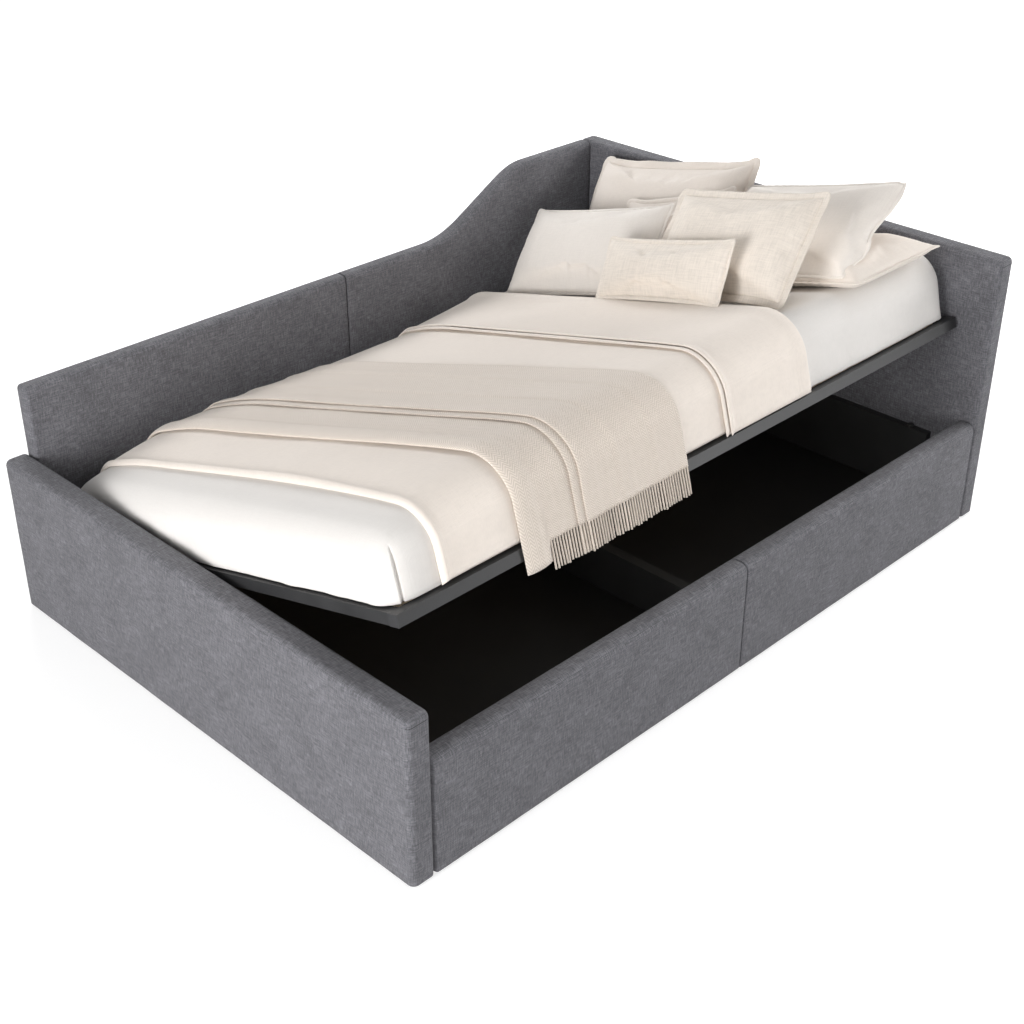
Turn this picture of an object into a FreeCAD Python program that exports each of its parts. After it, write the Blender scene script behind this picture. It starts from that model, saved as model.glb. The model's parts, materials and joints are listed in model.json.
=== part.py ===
import FreeCAD
import Part
import Sketcher
import math
import os
from types import SimpleNamespace

# An upholstered daybed with a storage box under a mattress platform that tilts up from the front.
# Origin on the floor under the middle, +X from footboard to headboard, +Y from front rail to
# back wall, +Z up. Millimetres and degrees. The platform is modelled shut and then placed lifted.

driving = {
    # upholstered panels
    "overall_length": 2150.0,
    "overall_width": 1490.0,
    "head_height": 776.0,
    "wall_height": 616.0,
    "foot_height": 430.0,
    "rail_height": 304.0,
    "end_thickness": 64.0,
    "rail_thickness": 58.0,
    "wall_thickness": 48.0,
    "padding": 11.0,
    "panel_round": 16.0,
    "rail_round": 22.0,
    "wall_end_round": 10.0,
    "seam_round": 4.0,
    # S rise of the back wall, measured from the headboard's inner face
    "rise_foot": 616.0,
    "rise_top": 330.0,
    "rise_foot_radius": 320.0,
    "rise_top_radius": 200.0,
    # floor of the storage box
    "glide_height": 4.0,
    "glide_radius": 11.0,
    "floor_level": 40.0,
    "floor_thickness": 6.0,
    "floor_gap": 1.0,
    "batten_width": 25.0,
    "batten_height": 22.0,
    "bearer_width": 30.0,
    "beam_thickness": 30.0,
    "beam_height": 158.0,
    # ledgers that carry the shut platform
    "ledger_thickness": 22.0,
    "ledger_corner_gap": 72.0,
    "ledger_hinge_gap": 130.0,
    "back_ledger_thickness": 16.0,
    "back_ledger_height": 190.0,
    "rest_pad_height": 6.0,
    "rest_pad_radius": 9.0,
    "rest_pad_clearance": 0.5,
    # steel fittings and bolts
    "plate": 4.0,
    "corner_leg": 60.0,
    "corner_bottom": 90.0,
    "corner_height": 120.0,
    "splice_length": 200.0,
    "splice_height": 110.0,
    "beam_leg": 45.0,
    "bolt_radius": 3.5,
    "bolt_head_radius": 7.0,
    "bolt_head_height": 3.0,
    "bolt_grip": 18.0,
    # platform frame
    "platform_recess": 35.0,
    "front_clearance": 20.0,
    "back_clearance": 22.0,
    "end_clearance": 12.0,
    "tube_size": 28.0,
    "tube_wall": 2.0,
    "plug_flange": 2.0,
    "slat_width": 62.0,
    "slat_thickness": 10.0,
    "slat_drop": 1.0,
    "slat_end_gap": 3.0,
    "holder_length": 30.0,
    "holder_height": 11.0,
    # hinges
    "pivot_setback": 170.0,
    "pivot_rise": 70.0,
    "rest_lift": 16.0,
    "pin_radius": 6.0,
    "pin_collar_radius": 11.0,
    "pin_head_height": 3.0,
    "running_gap": 0.05,
    "side_gap": 0.2,
    "arm_half_width": 55.0,
    "arm_eye_radius": 22.0,
    "hinge_plate_half_width": 42.0,
    "hinge_plate_drop": 78.0,
    # gas struts
    "strut_inset": 14.0,
    "strut_lever": 275.0,
    "strut_drop": 44.0,
    "strut_base_back": 80.0,
    "strut_base_height": 90.0,
    "stud_radius": 4.0,
    "stud_head_radius": 7.0,
    "eye_radius": 9.0,
    "eye_width": 10.0,
    "cylinder_radius": 9.0,
    "cylinder_length": 244.0,
    "cylinder_bore": 7.0,
    "cylinder_base": 26.0,
    "gland_length": 10.0,
    "gland_gap": 1.0,
    "strut_rod_radius": 4.0,
    "strut_rod_length": 312.0,
    # mattress and bedding
    "soft_gap": 0.4,
    "mattress_thickness": 190.0,
    "mattress_back_inset": 36.0,
    "mattress_end_inset": 11.0,
    "mattress_edge": 55.0,
    "mattress_corner": 70.0,
    "mattress_foot_edge": 24.0,
    "duvet_thickness": 16.0,
    "duvet_foot_gap": 118.0,
    "duvet_head_gap": 588.0,
    "duvet_head_skew": 116.0,
    "band_width": 330.0,
    "band_thickness": 9.0,
    "duvet_front_hem": 6.0,
    "duvet_back_hem": 70.0,
    "throw_thickness": 6.0,
    "throw_fold_thickness": 5.0,
    "throw_foot_gap": 300.0,
    "throw_width": 470.0,
    "throw_skew": 90.0,
    "throw_roll_width": 52.0,
    "throw_pleat_start": 150.0,
    "throw_pleat_width": 250.0,
    "throw_drop": 62.0,
}


class Size:
    """A length with the sheet expression that gives it."""

    def __init__(self, number, text):
        self.number = float(number)
        self.text = text

    def __float__(self):
        return self.number

    def joined(self, other, sign, number):
        return Size(number, "(%s %s %s)" % (self.text, sign, other.text))

    def __add__(self, other):
        other = as_size(other)
        return self.joined(other, "+", self.number + other.number)

    def __sub__(self, other):
        other = as_size(other)
        return self.joined(other, "-", self.number - other.number)

    def __mul__(self, other):
        other = as_size(other)
        return self.joined(other, "*", self.number * other.number)

    def __truediv__(self, other):
        other = as_size(other)
        return self.joined(other, "/", self.number / other.number)

    def __neg__(self):
        return Size(-self.number, "(0 - %s)" % self.text)


def as_size(value):
    return value if isinstance(value, Size) else Size(value, repr(float(value)))


doc = FreeCAD.newDocument("StorageDaybed")
sheet = doc.addObject("Spreadsheet::Sheet", "Sizes")
for row, (word, number) in enumerate(driving.items(), start=1):
    sheet.set("A%d" % row, word)
    sheet.set("B%d" % row, str(number))
    sheet.setAlias("B%d" % row, word)
doc.recompute()
dim = SimpleNamespace(**{word: Size(sheet.get(word), "Sizes." + word) for word in driving})

# inner faces of the panels, and the shut platform
half_length = dim.overall_length / 2
half_width = dim.overall_width / 2
foot_face = dim.end_thickness - half_length
head_face = half_length - dim.end_thickness
front_face = dim.rail_thickness - half_width
back_face = half_width - dim.wall_thickness
floor_bottom = dim.floor_level - dim.floor_thickness
platform_top = dim.rail_height - dim.platform_recess
platform_bottom = platform_top - dim.tube_size
platform_front = front_face + dim.front_clearance
platform_back = back_face - dim.back_clearance
platform_foot = foot_face + dim.end_clearance
platform_head = head_face - dim.end_clearance
pivot_y = platform_back - dim.pivot_setback
pivot_z = platform_top + dim.pivot_rise
mattress_front = platform_front + dim.duvet_thickness + dim.soft_gap
mattress_back = platform_back - dim.mattress_back_inset
mattress_foot = platform_foot + dim.mattress_end_inset
mattress_head = platform_head - dim.mattress_end_inset
mattress_bottom = platform_top + dim.soft_gap
mattress_top = platform_top + dim.mattress_thickness
mattress_middle = (mattress_front + mattress_back) / 2
zero = as_size(0.0)

# the platform stands lifted about the hinge axis, front edge up
axis_x = FreeCAD.Vector(1, 0, 0)
axis_y = FreeCAD.Vector(0, 1, 0)
axis_z = FreeCAD.Vector(0, 0, 1)
hinge_centre = FreeCAD.Vector(0, float(pivot_y), float(pivot_z))
lift = FreeCAD.Placement(FreeCAD.Vector(), FreeCAD.Rotation(axis_x, -float(dim.rest_lift)), hinge_centre)

nodes = []


def bind(thing, prop, size):
    thing.setExpression(prop, as_size(size).text)


def node(thing, label):
    thing.Label = label
    nodes.append(thing)
    return thing


def box(name, x, y, z):
    made = doc.addObject("Part::Box", name)
    for prop, (low, high) in zip(("Length", "Width", "Height"), (x, y, z)):
        bind(made, prop, high - low)
    for letter, (low, high) in zip("xyz", (x, y, z)):
        bind(made, "Placement.Base." + letter, low)
    return made


def rod(name, radius, low, high, across, up):
    # a round bar along X from low to high
    made = doc.addObject("Part::Cylinder", name)
    made.Placement = FreeCAD.Placement(FreeCAD.Vector(), FreeCAD.Rotation(axis_y, 90))
    bind(made, "Radius", radius)
    bind(made, "Height", high - low)
    for letter, size in zip("xyz", (low, across, up)):
        bind(made, "Placement.Base." + letter, size)
    return made


def post(name, radius, low, high, x, y):
    # a round bar along Z from low to high
    made = doc.addObject("Part::Cylinder", name)
    bind(made, "Radius", radius)
    bind(made, "Height", high - low)
    for letter, size in zip("xyz", (x, y, low)):
        bind(made, "Placement.Base." + letter, size)
    return made


def group(name, pieces):
    made = doc.addObject("Part::Compound", name)
    made.Links = pieces
    return made


def fused(name, pieces):
    made = doc.addObject("Part::MultiFuse", name)
    made.Shapes = pieces
    return made


def cut(name, base, tool):
    made = doc.addObject("Part::Cut", name)
    made.Base = base
    made.Tool = tool
    return made


def shared(name, base, tool):
    made = doc.addObject("Part::Common", name)
    made.Base = base
    made.Tool = tool
    return made


def on_platform(label, pieces):
    made = node(group(label, pieces), label)
    made.Placement = lift
    return made


def origin_plane(body, role):
    return [plane for plane in body.Origin.OriginFeatures if plane.Role == role][0]


def draw(body, role, loops):
    sketch = body.newObject("Sketcher::SketchObject", "Outline")
    sketch.AttachmentSupport = [(origin_plane(body, role), "")]
    sketch.MapMode = "FlatFace"
    first = 0
    for loop in loops:
        count = len(loop)
        points = [FreeCAD.Vector(float(a), float(b), 0) for a, b in loop]
        for i, point in enumerate(points):
            sketch.addGeometry(Part.LineSegment(point, points[(i + 1) % count]))
        for i in range(count):
            following = first + (i + 1) % count
            sketch.addConstraint(Sketcher.Constraint("Coincident", first + i, 2, following, 1))
        for i, corner in enumerate(loop):
            for kind, size in zip(("DistanceX", "DistanceY"), corner):
                size = as_size(size)
                number = sketch.addConstraint(
                    Sketcher.Constraint(kind, -1, 1, first + i, 1, float(size)))
                sketch.setExpression("Constraints[%d]" % number, size.text)
        first += count
    return sketch


def padded(name, role, loops, depth, start):
    # an outline drawn on one origin plane and thickened along the third axis from start
    body = doc.addObject("PartDesign::Body", name)
    pad = body.newObject("PartDesign::Pad", "Thickness")
    pad.Profile = draw(body, role, loops)
    pad.Reversed = role == "XZ_Plane"
    bind(pad, "Length", depth)
    letter = {"YZ_Plane": "x", "XZ_Plane": "y", "XY_Plane": "z"}[role]
    bind(body, "Placement.Base." + letter, start)
    doc.recompute()
    return body


def rounded(body, radius, test):
    base = body.Tip
    names = ["Edge%d" % (i + 1) for i, edge in enumerate(base.Shape.Edges) if test(edge)]
    fillet = body.newObject("PartDesign::Fillet", "Rounding")
    fillet.Base = (base, names)
    bind(fillet, "Radius", radius)
    doc.recompute()
    return body


near = 0.01


def flat_at(edge, letter, place):
    low = getattr(edge.BoundBox, letter.upper() + "Min")
    high = getattr(edge.BoundBox, letter.upper() + "Max")
    return abs(low - float(place)) < near and abs(high - float(place)) < near


def runs_along(edge, letter):
    sides = {"x": edge.BoundBox.XLength, "y": edge.BoundBox.YLength, "z": edge.BoundBox.ZLength}
    own = sides.pop(letter)
    return own > near and max(sides.values()) < near


def above(edge, height):
    return edge.BoundBox.ZMax > float(height) + near


def rectangle(low_a, high_a, low_b, high_b):
    return [(low_a, low_b), (high_a, low_b), (high_a, high_b), (low_a, high_b)]


# fasteners

def bolt(x, y, z, way):
    # head under the inner face of a plate, shank through plate and padding into the board
    head = Part.makeCylinder(float(dim.bolt_head_radius), float(dim.bolt_head_height),
                             FreeCAD.Vector(float(x), float(y), float(z)), way * -1)
    reach = float(dim.plate + dim.padding + dim.bolt_grip)
    shank = Part.makeCylinder(float(dim.bolt_radius), reach,
                              FreeCAD.Vector(float(x), float(y), float(z)), way)
    return head.fuse(shank).removeSplitter()


def bolts(label, shapes):
    made = doc.addObject("Part::Feature", label)
    made.Shape = Part.makeCompound(shapes)
    return node(made, label)


corners = [(face, side, -1 if side is front_face else 1)
           for face in (foot_face, head_face) for side in (front_face, back_face)]
corner_heights = [dim.corner_bottom + dim.corner_height / 4, dim.corner_bottom + dim.corner_height * 0.75]
panel_shapes = []
for face, side, sign in corners:
    inward_x = 1 if face is foot_face else -1
    inward_y = -sign
    out = dim.corner_leg * 0.6
    for height in corner_heights:
        panel_shapes.append(bolt(face + dim.plate * inward_x, side + out * inward_y, height,
                                  axis_x * -inward_x))
        panel_shapes.append(bolt(face + out * inward_x, side + dim.plate * inward_y, height,
                                  axis_y * -inward_y))

splice_bottom = dim.corner_bottom
for side, inward_y in ((front_face, 1), (back_face, -1)):
    for sign in (-1, 1):
        for share in (0.25, 0.75):
            panel_shapes.append(bolt(dim.splice_length * (0.35 * sign), side + dim.plate * inward_y,
                                     splice_bottom + dim.splice_height * share, axis_y * -inward_y))
panel_bolts = bolts("panel_bolts", panel_shapes)

strut_base_y = pivot_y + dim.strut_base_back
strut_base_z = dim.strut_base_height
strut_flange_far = dim.corner_leg
strut_flange_near = dim.corner_leg / 3
hinge_shapes = []
for face, inward_x in ((foot_face, 1), (head_face, -1)):
    spots = [(pivot_y - dim.hinge_plate_half_width * 0.6, pivot_z - dim.hinge_plate_drop * 0.75),
             (pivot_y + dim.hinge_plate_half_width * 0.6, pivot_z - dim.hinge_plate_drop * 0.75),
             (strut_base_y - (strut_flange_far + strut_flange_near) / 2, strut_base_z - dim.eye_radius),
             (strut_base_y - (strut_flange_far + strut_flange_near) / 2, strut_base_z + dim.eye_radius * 2)]
    for y, z in spots:
        hinge_shapes.append(bolt(face + dim.plate * inward_x, y, z, axis_x * -inward_x))
hinge_bolts = bolts("hinge_bolts", hinge_shapes)
bolt_holes = group("bolt_holes", [panel_bolts, hinge_bolts])


# upholstered panels: a board inside a foam and cloth cover that is open underneath

def upholstered(label, form, board):
    node(cut(label + "_board", board, bolt_holes), label + "_board")
    shell = cut(label + "_shell", form, board)
    node(cut(label + "_cover", shell, bolt_holes), label + "_cover")


def end_board(label, start, height):
    form = padded(label + "_form", "YZ_Plane",
                  [rectangle(-half_width, half_width, dim.glide_height, height)], dim.end_thickness, start)
    rounded(form, dim.panel_round, lambda edge: above(edge, dim.glide_height))
    board = padded(label + "_core", "YZ_Plane",
                   [rectangle(dim.padding - half_width, half_width - dim.padding,
                              dim.glide_height, height - dim.padding)],
                   dim.end_thickness - dim.padding * 2, start + dim.padding)
    upholstered(label, form, board)


def front_rail(label, low, high):
    form = padded(label + "_form", "XZ_Plane", [rectangle(low, high, dim.glide_height, dim.rail_height)],
                  dim.rail_thickness, -half_width)
    rounded(form, dim.rail_round, lambda edge: runs_along(edge, "x") and above(edge, dim.glide_height))
    for end in (low, high):
        rounded(form, dim.seam_round,
                lambda edge: flat_at(edge, "x", end) and above(edge, dim.glide_height))
    board = padded(label + "_core", "XZ_Plane",
                   [rectangle(low + dim.padding, high - dim.padding,
                              dim.glide_height, dim.rail_height - dim.padding)],
                   dim.rail_thickness - dim.padding * 2, dim.padding - half_width)
    upholstered(label, form, board)


def wall_profile(low, high, drop):
    # the low half is a plain rectangle; the head half climbs in two bends to the headboard's height
    base = dim.glide_height
    low_top = dim.wall_height - drop
    if low is not zero:
        return rectangle(low + drop, high - drop, base, low_top)
    return [(low + drop, base), (high - drop, base), (high - drop, dim.head_height - drop),
            (head_face - dim.rise_top, dim.head_height - drop),
            (head_face - dim.rise_foot, low_top), (low + drop, low_top)]


def bend_rise(body):
    rise_foot_x = head_face - dim.rise_foot
    rise_top_x = head_face - dim.rise_top
    rounded(body, dim.rise_foot_radius,
            lambda edge: runs_along(edge, "y") and flat_at(edge, "x", rise_foot_x))
    rounded(body, dim.rise_top_radius,
            lambda edge: runs_along(edge, "y") and flat_at(edge, "x", rise_top_x))


def back_wall(label, low, high, end_rounds):
    start = back_face
    form = padded(label + "_form", "XZ_Plane", [wall_profile(low, high, zero)], dim.wall_thickness, start)
    board = padded(label + "_core", "XZ_Plane", [wall_profile(low, high, dim.padding)],
                   dim.wall_thickness - dim.padding * 2, start + dim.padding)
    if low is zero:
        bend_rise(form)
        bend_rise(board)
    rounded(form, dim.panel_round,
            lambda edge: above(edge, dim.glide_height) and edge.BoundBox.YLength < near
            and edge.BoundBox.XLength > near)
    for end, radius in end_rounds:
        rounded(form, radius, lambda edge: flat_at(edge, "x", end) and above(edge, dim.glide_height))
    upholstered(label, form, board)


end_board("footboard", -half_length, dim.foot_height)
end_board("headboard", head_face, dim.head_height)
front_rail("front_rail_foot", foot_face, zero)
front_rail("front_rail_head", zero, head_face)
back_wall("back_wall_foot", foot_face, zero, [(foot_face, dim.wall_end_round), (zero, dim.seam_round)])
back_wall("back_wall_head", zero, head_face, [(zero, dim.seam_round), (head_face, dim.seam_round)])


# floor of the storage box, its beam, battens and glides

beam_half = dim.beam_thickness / 2
beam_front = front_face + dim.plate
beam_back = back_face - dim.plate
beam_top = dim.glide_height + dim.beam_height
bays = [("foot", foot_face, -beam_half), ("head", beam_half, head_face)]

node(box("centre_beam", (-beam_half, beam_half), (beam_front, beam_back),
         (dim.glide_height, beam_top)), "centre_beam")

battens = []
for name, low, high in bays:
    node(box("storage_floor_" + name, (low + dim.floor_gap, high - dim.floor_gap),
             (front_face + dim.floor_gap, back_face - dim.floor_gap), (floor_bottom, dim.floor_level)),
         "storage_floor_" + name)
    under = (floor_bottom - dim.batten_height, floor_bottom)
    battens.append(box("front_batten", (low, high), (front_face, front_face + dim.batten_width), under))
    battens.append(box("back_batten", (low, high), (back_face - dim.batten_width, back_face), under))
    battens.append(box("bearer", (low, high), (-dim.bearer_width / 2, dim.bearer_width / 2),
                       (dim.glide_height, floor_bottom)))
splice_clear = dim.splice_length / 2
node(group("floor_battens", battens), "floor_battens")

board_line = half_length - dim.end_thickness / 2
rail_line = dim.rail_thickness / 2 - half_width
wall_line = half_width - dim.wall_thickness / 2
spread = half_width - dim.corner_leg
glide_spots = [(sign, y) for sign in (-board_line, board_line) for y in (-spread, zero, spread)]
for y in (rail_line, wall_line):
    glide_spots += [(foot_face / 2 * share, y) for share in (0.25, 1.75)]
    glide_spots += [(head_face / 2 * share, y) for share in (0.25, 1.75)]
glide_spots += [(zero, y) for y in (-half_width / 2, half_width / 2)]
glide_spots += [(foot_face / 2, zero), (head_face / 2, zero)]
glides = [post("glide", dim.glide_radius, zero, dim.glide_height, x, y) for x, y in glide_spots]
node(group("floor_glides", glides), "floor_glides")


# ledgers at the ends and the back, and the pads that the shut platform lands on

ledger_top = platform_bottom - dim.rest_pad_height - dim.rest_pad_clearance
ledger_span = (front_face + dim.ledger_corner_gap, pivot_y - dim.ledger_hinge_gap)
pads = []
for name, face, inward in (("foot", foot_face, 1), ("head", head_face, -1)):
    inner = face + dim.ledger_thickness * inward
    across = (face, inner) if inward > 0 else (inner, face)
    node(box("ledger_" + name, across, ledger_span, (dim.floor_level, ledger_top)), "ledger_" + name)
    for end in (ledger_span[0] + dim.corner_leg, ledger_span[1] - dim.corner_leg):
        pads.append(post("rest_pad", dim.rest_pad_radius, ledger_top, ledger_top + dim.rest_pad_height,
                         face + dim.ledger_thickness / 2 * inward, end))
node(group("rest_pads", pads), "rest_pads")

back_ledgers = []
for low, high in ((foot_face + dim.ledger_corner_gap, -splice_clear - dim.plate),
                  (splice_clear + dim.plate, head_face - dim.ledger_corner_gap)):
    back_ledgers.append(box("back_ledger", (low, high), (back_face - dim.back_ledger_thickness, back_face),
                            (dim.floor_level, dim.floor_level + dim.back_ledger_height)))
node(group("back_ledgers", back_ledgers), "back_ledgers")


# corner brackets, splice plates and beam brackets

def angle(name, x, y, way_x, way_y, leg, low, high):
    inner = dim.plate
    loop = [(x, y), (x + leg * way_x, y), (x + leg * way_x, y + inner * way_y),
            (x + inner * way_x, y + inner * way_y), (x + inner * way_x, y + leg * way_y),
            (x, y + leg * way_y)]
    return padded(name, "XY_Plane", [loop], high - low, low)


corner_angles = []
for face, side, sign in corners:
    corner_angles.append(angle("corner_angle", face, side, 1 if face is foot_face else -1, -sign,
                               dim.corner_leg, dim.corner_bottom, dim.corner_bottom + dim.corner_height))
node(cut("corner_brackets", group("corner_angles", corner_angles), panel_bolts), "corner_brackets")

splices = []
beam_angles = []
for side, inward in ((front_face, 1), (back_face, -1)):
    inner = side + dim.plate * inward
    across = (side, inner) if inward > 0 else (inner, side)
    tall = (splice_bottom, splice_bottom + dim.splice_height)
    splices.append(box("splice", (-splice_clear, splice_clear), across, tall))
    for way in (-1, 1):
        beam_angles.append(angle("beam_angle", beam_half * way, inner, way, inward,
                                 dim.beam_leg, splice_bottom, beam_top - dim.plate))
node(cut("splice_plates", group("splices", splices), panel_bolts), "splice_plates")
node(group("beam_brackets", beam_angles), "beam_brackets")


# platform frame: square tubes, plugs, slats and their holders

def tube(name, role, low_a, top, length, start):
    # a square tube whose outer side starts at low_a and whose top is at top
    size = dim.tube_size
    wall = dim.tube_wall
    outer = rectangle(low_a, low_a + size, top - size, top)
    inner = rectangle(low_a + wall, low_a + size - wall, top - size + wall, top - wall)
    return padded(name, role, [outer, inner], length, start)


frame_length = platform_head - platform_foot
inner_front = platform_front + dim.tube_size
inner_back = platform_back - dim.tube_size
inner_depth = inner_back - inner_front
for label, low in (("frame_front_tube", platform_front), ("frame_back_tube", inner_back)):
    on_platform(label, [tube(label + "_form", "YZ_Plane", low, platform_top, frame_length, platform_foot)])
cross_tubes = (("frame_foot_tube", platform_foot), ("frame_head_tube", platform_head - dim.tube_size),
               ("frame_centre_tube", -dim.tube_size / 2))
for label, low in cross_tubes:
    on_platform(label, [tube(label + "_form", "XZ_Plane", low, platform_top, inner_depth, inner_front)])

plugs = []
for low in (platform_front, inner_back):
    for end, way in ((platform_foot, -1), (platform_head, 1)):
        far = end + dim.plug_flange * way
        plugs.append(box("plug", (far, end) if way < 0 else (end, far), (low, low + dim.tube_size),
                         (platform_bottom, platform_top)))
on_platform("tube_plugs", plugs)

slat_count = 12
slat_pitch = inner_depth / slat_count
slat_top = platform_top - dim.slat_drop
slat_bottom = slat_top - dim.slat_thickness
spans = (("foot", platform_foot + dim.tube_size, -dim.tube_size / 2),
         ("head", dim.tube_size / 2, platform_head - dim.tube_size))
for name, low, high in spans:
    slats = []
    holders = []
    for i in range(slat_count):
        middle = inner_front + slat_pitch * (i + 0.5)
        across = (middle - dim.slat_width / 2, middle + dim.slat_width / 2)
        slats.append(box("slat", (low + dim.slat_end_gap, high - dim.slat_end_gap), across,
                         (slat_bottom, slat_top)))
        for span in ((low, low + dim.holder_length), (high - dim.holder_length, high)):
            holders.append(box("holder", span, across, (slat_bottom - dim.holder_height, slat_bottom)))
    on_platform("slats_" + name, slats)
    on_platform("slat_holders_" + name, holders)


# hinges: a bracket and pin on each end board, an arm on each end tube

def hinge(name, face, way):
    def across(low, high):
        # distances from the end board's face into the bed, as a span along X
        near_x = face + low * way
        far_x = face + high * way
        return (near_x, far_x) if way > 0 else (far_x, near_x)

    arm_outer = dim.end_clearance
    arm_inner = arm_outer - dim.plate
    low, high = across(zero, dim.plate)
    half = dim.hinge_plate_half_width
    plate_loop = rectangle(pivot_y - half, pivot_y + half, pivot_z - dim.hinge_plate_drop,
                           pivot_z + dim.arm_eye_radius)
    plate = padded("hinge_plate_" + name, "YZ_Plane", [plate_loop], dim.plate, low)
    rounded(plate, dim.eye_radius, lambda edge: runs_along(edge, "x"))
    pin_hole = rod("pin_hole_" + name, dim.pin_radius + dim.running_gap, low, high, pivot_y, pivot_z)
    drilled = cut("hinge_drilled_" + name, plate, pin_hole)
    node(cut("hinge_bracket_" + name, drilled, hinge_bolts), "hinge_bracket_" + name)

    low, high = across(zero, arm_outer + dim.side_gap)
    shank = rod("pin_shank_" + name, dim.pin_radius, low, high, pivot_y, pivot_z)
    low, high = across(dim.plate, arm_inner - dim.side_gap)
    collar = rod("pin_collar_" + name, dim.pin_collar_radius, low, high, pivot_y, pivot_z)
    low, high = across(arm_outer + dim.side_gap, arm_outer + dim.side_gap + dim.pin_head_height)
    head = rod("pin_head_" + name, dim.pin_collar_radius, low, high, pivot_y, pivot_z)
    node(fused("hinge_pin_" + name, [shank, collar, head]), "hinge_pin_" + name)

    low, high = across(arm_inner, arm_outer)
    wide = dim.arm_half_width
    eye = dim.arm_eye_radius
    arm_loop = [(pivot_y - wide, platform_bottom), (pivot_y + wide, platform_bottom),
                (pivot_y + wide, platform_top), (pivot_y + eye, pivot_z + eye),
                (pivot_y - eye, pivot_z + eye), (pivot_y - wide, platform_top)]
    arm = padded("arm_plate_" + name, "YZ_Plane", [arm_loop], dim.plate, low)
    rounded(arm, eye * 0.8, lambda edge: runs_along(edge, "x") and flat_at(edge, "z", pivot_z + eye))
    arm_hole = rod("arm_hole_" + name, dim.pin_radius + dim.running_gap, low, high, pivot_y, pivot_z)
    on_platform("hinge_arm_" + name, [cut("arm_drilled_" + name, arm, arm_hole)])


hinge("foot", foot_face, 1)
hinge("head", head_face, -1)


# gas struts: base bracket with stud, platform lug with stud, cylinder and rod

strut_top_y = pivot_y - dim.strut_lever
strut_top_z = platform_top - dim.strut_drop
shut_top = FreeCAD.Vector(0, float(strut_top_y), float(strut_top_z))
rest_top = lift.multVec(shut_top)
base_point = FreeCAD.Vector(0, float(strut_base_y), float(strut_base_z))
strut_line = rest_top - base_point
strut_turn = math.degrees(math.atan2(-strut_line.y, strut_line.z))


def stud(name, x, way, y, z):
    # a pin that stands out from a plate at x, with a head past the strut's eye
    reach = dim.strut_inset + dim.eye_width / 2 + dim.side_gap
    ends = (x, x + reach * way)
    shank = rod(name + "_shank", dim.stud_radius, min(ends, key=float), max(ends, key=float), y, z)
    head_ends = (ends[1], ends[1] + dim.plug_flange * way)
    head = rod(name + "_head", dim.stud_head_radius, min(head_ends, key=float), max(head_ends, key=float),
               y, z)
    return [shank, head]


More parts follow.
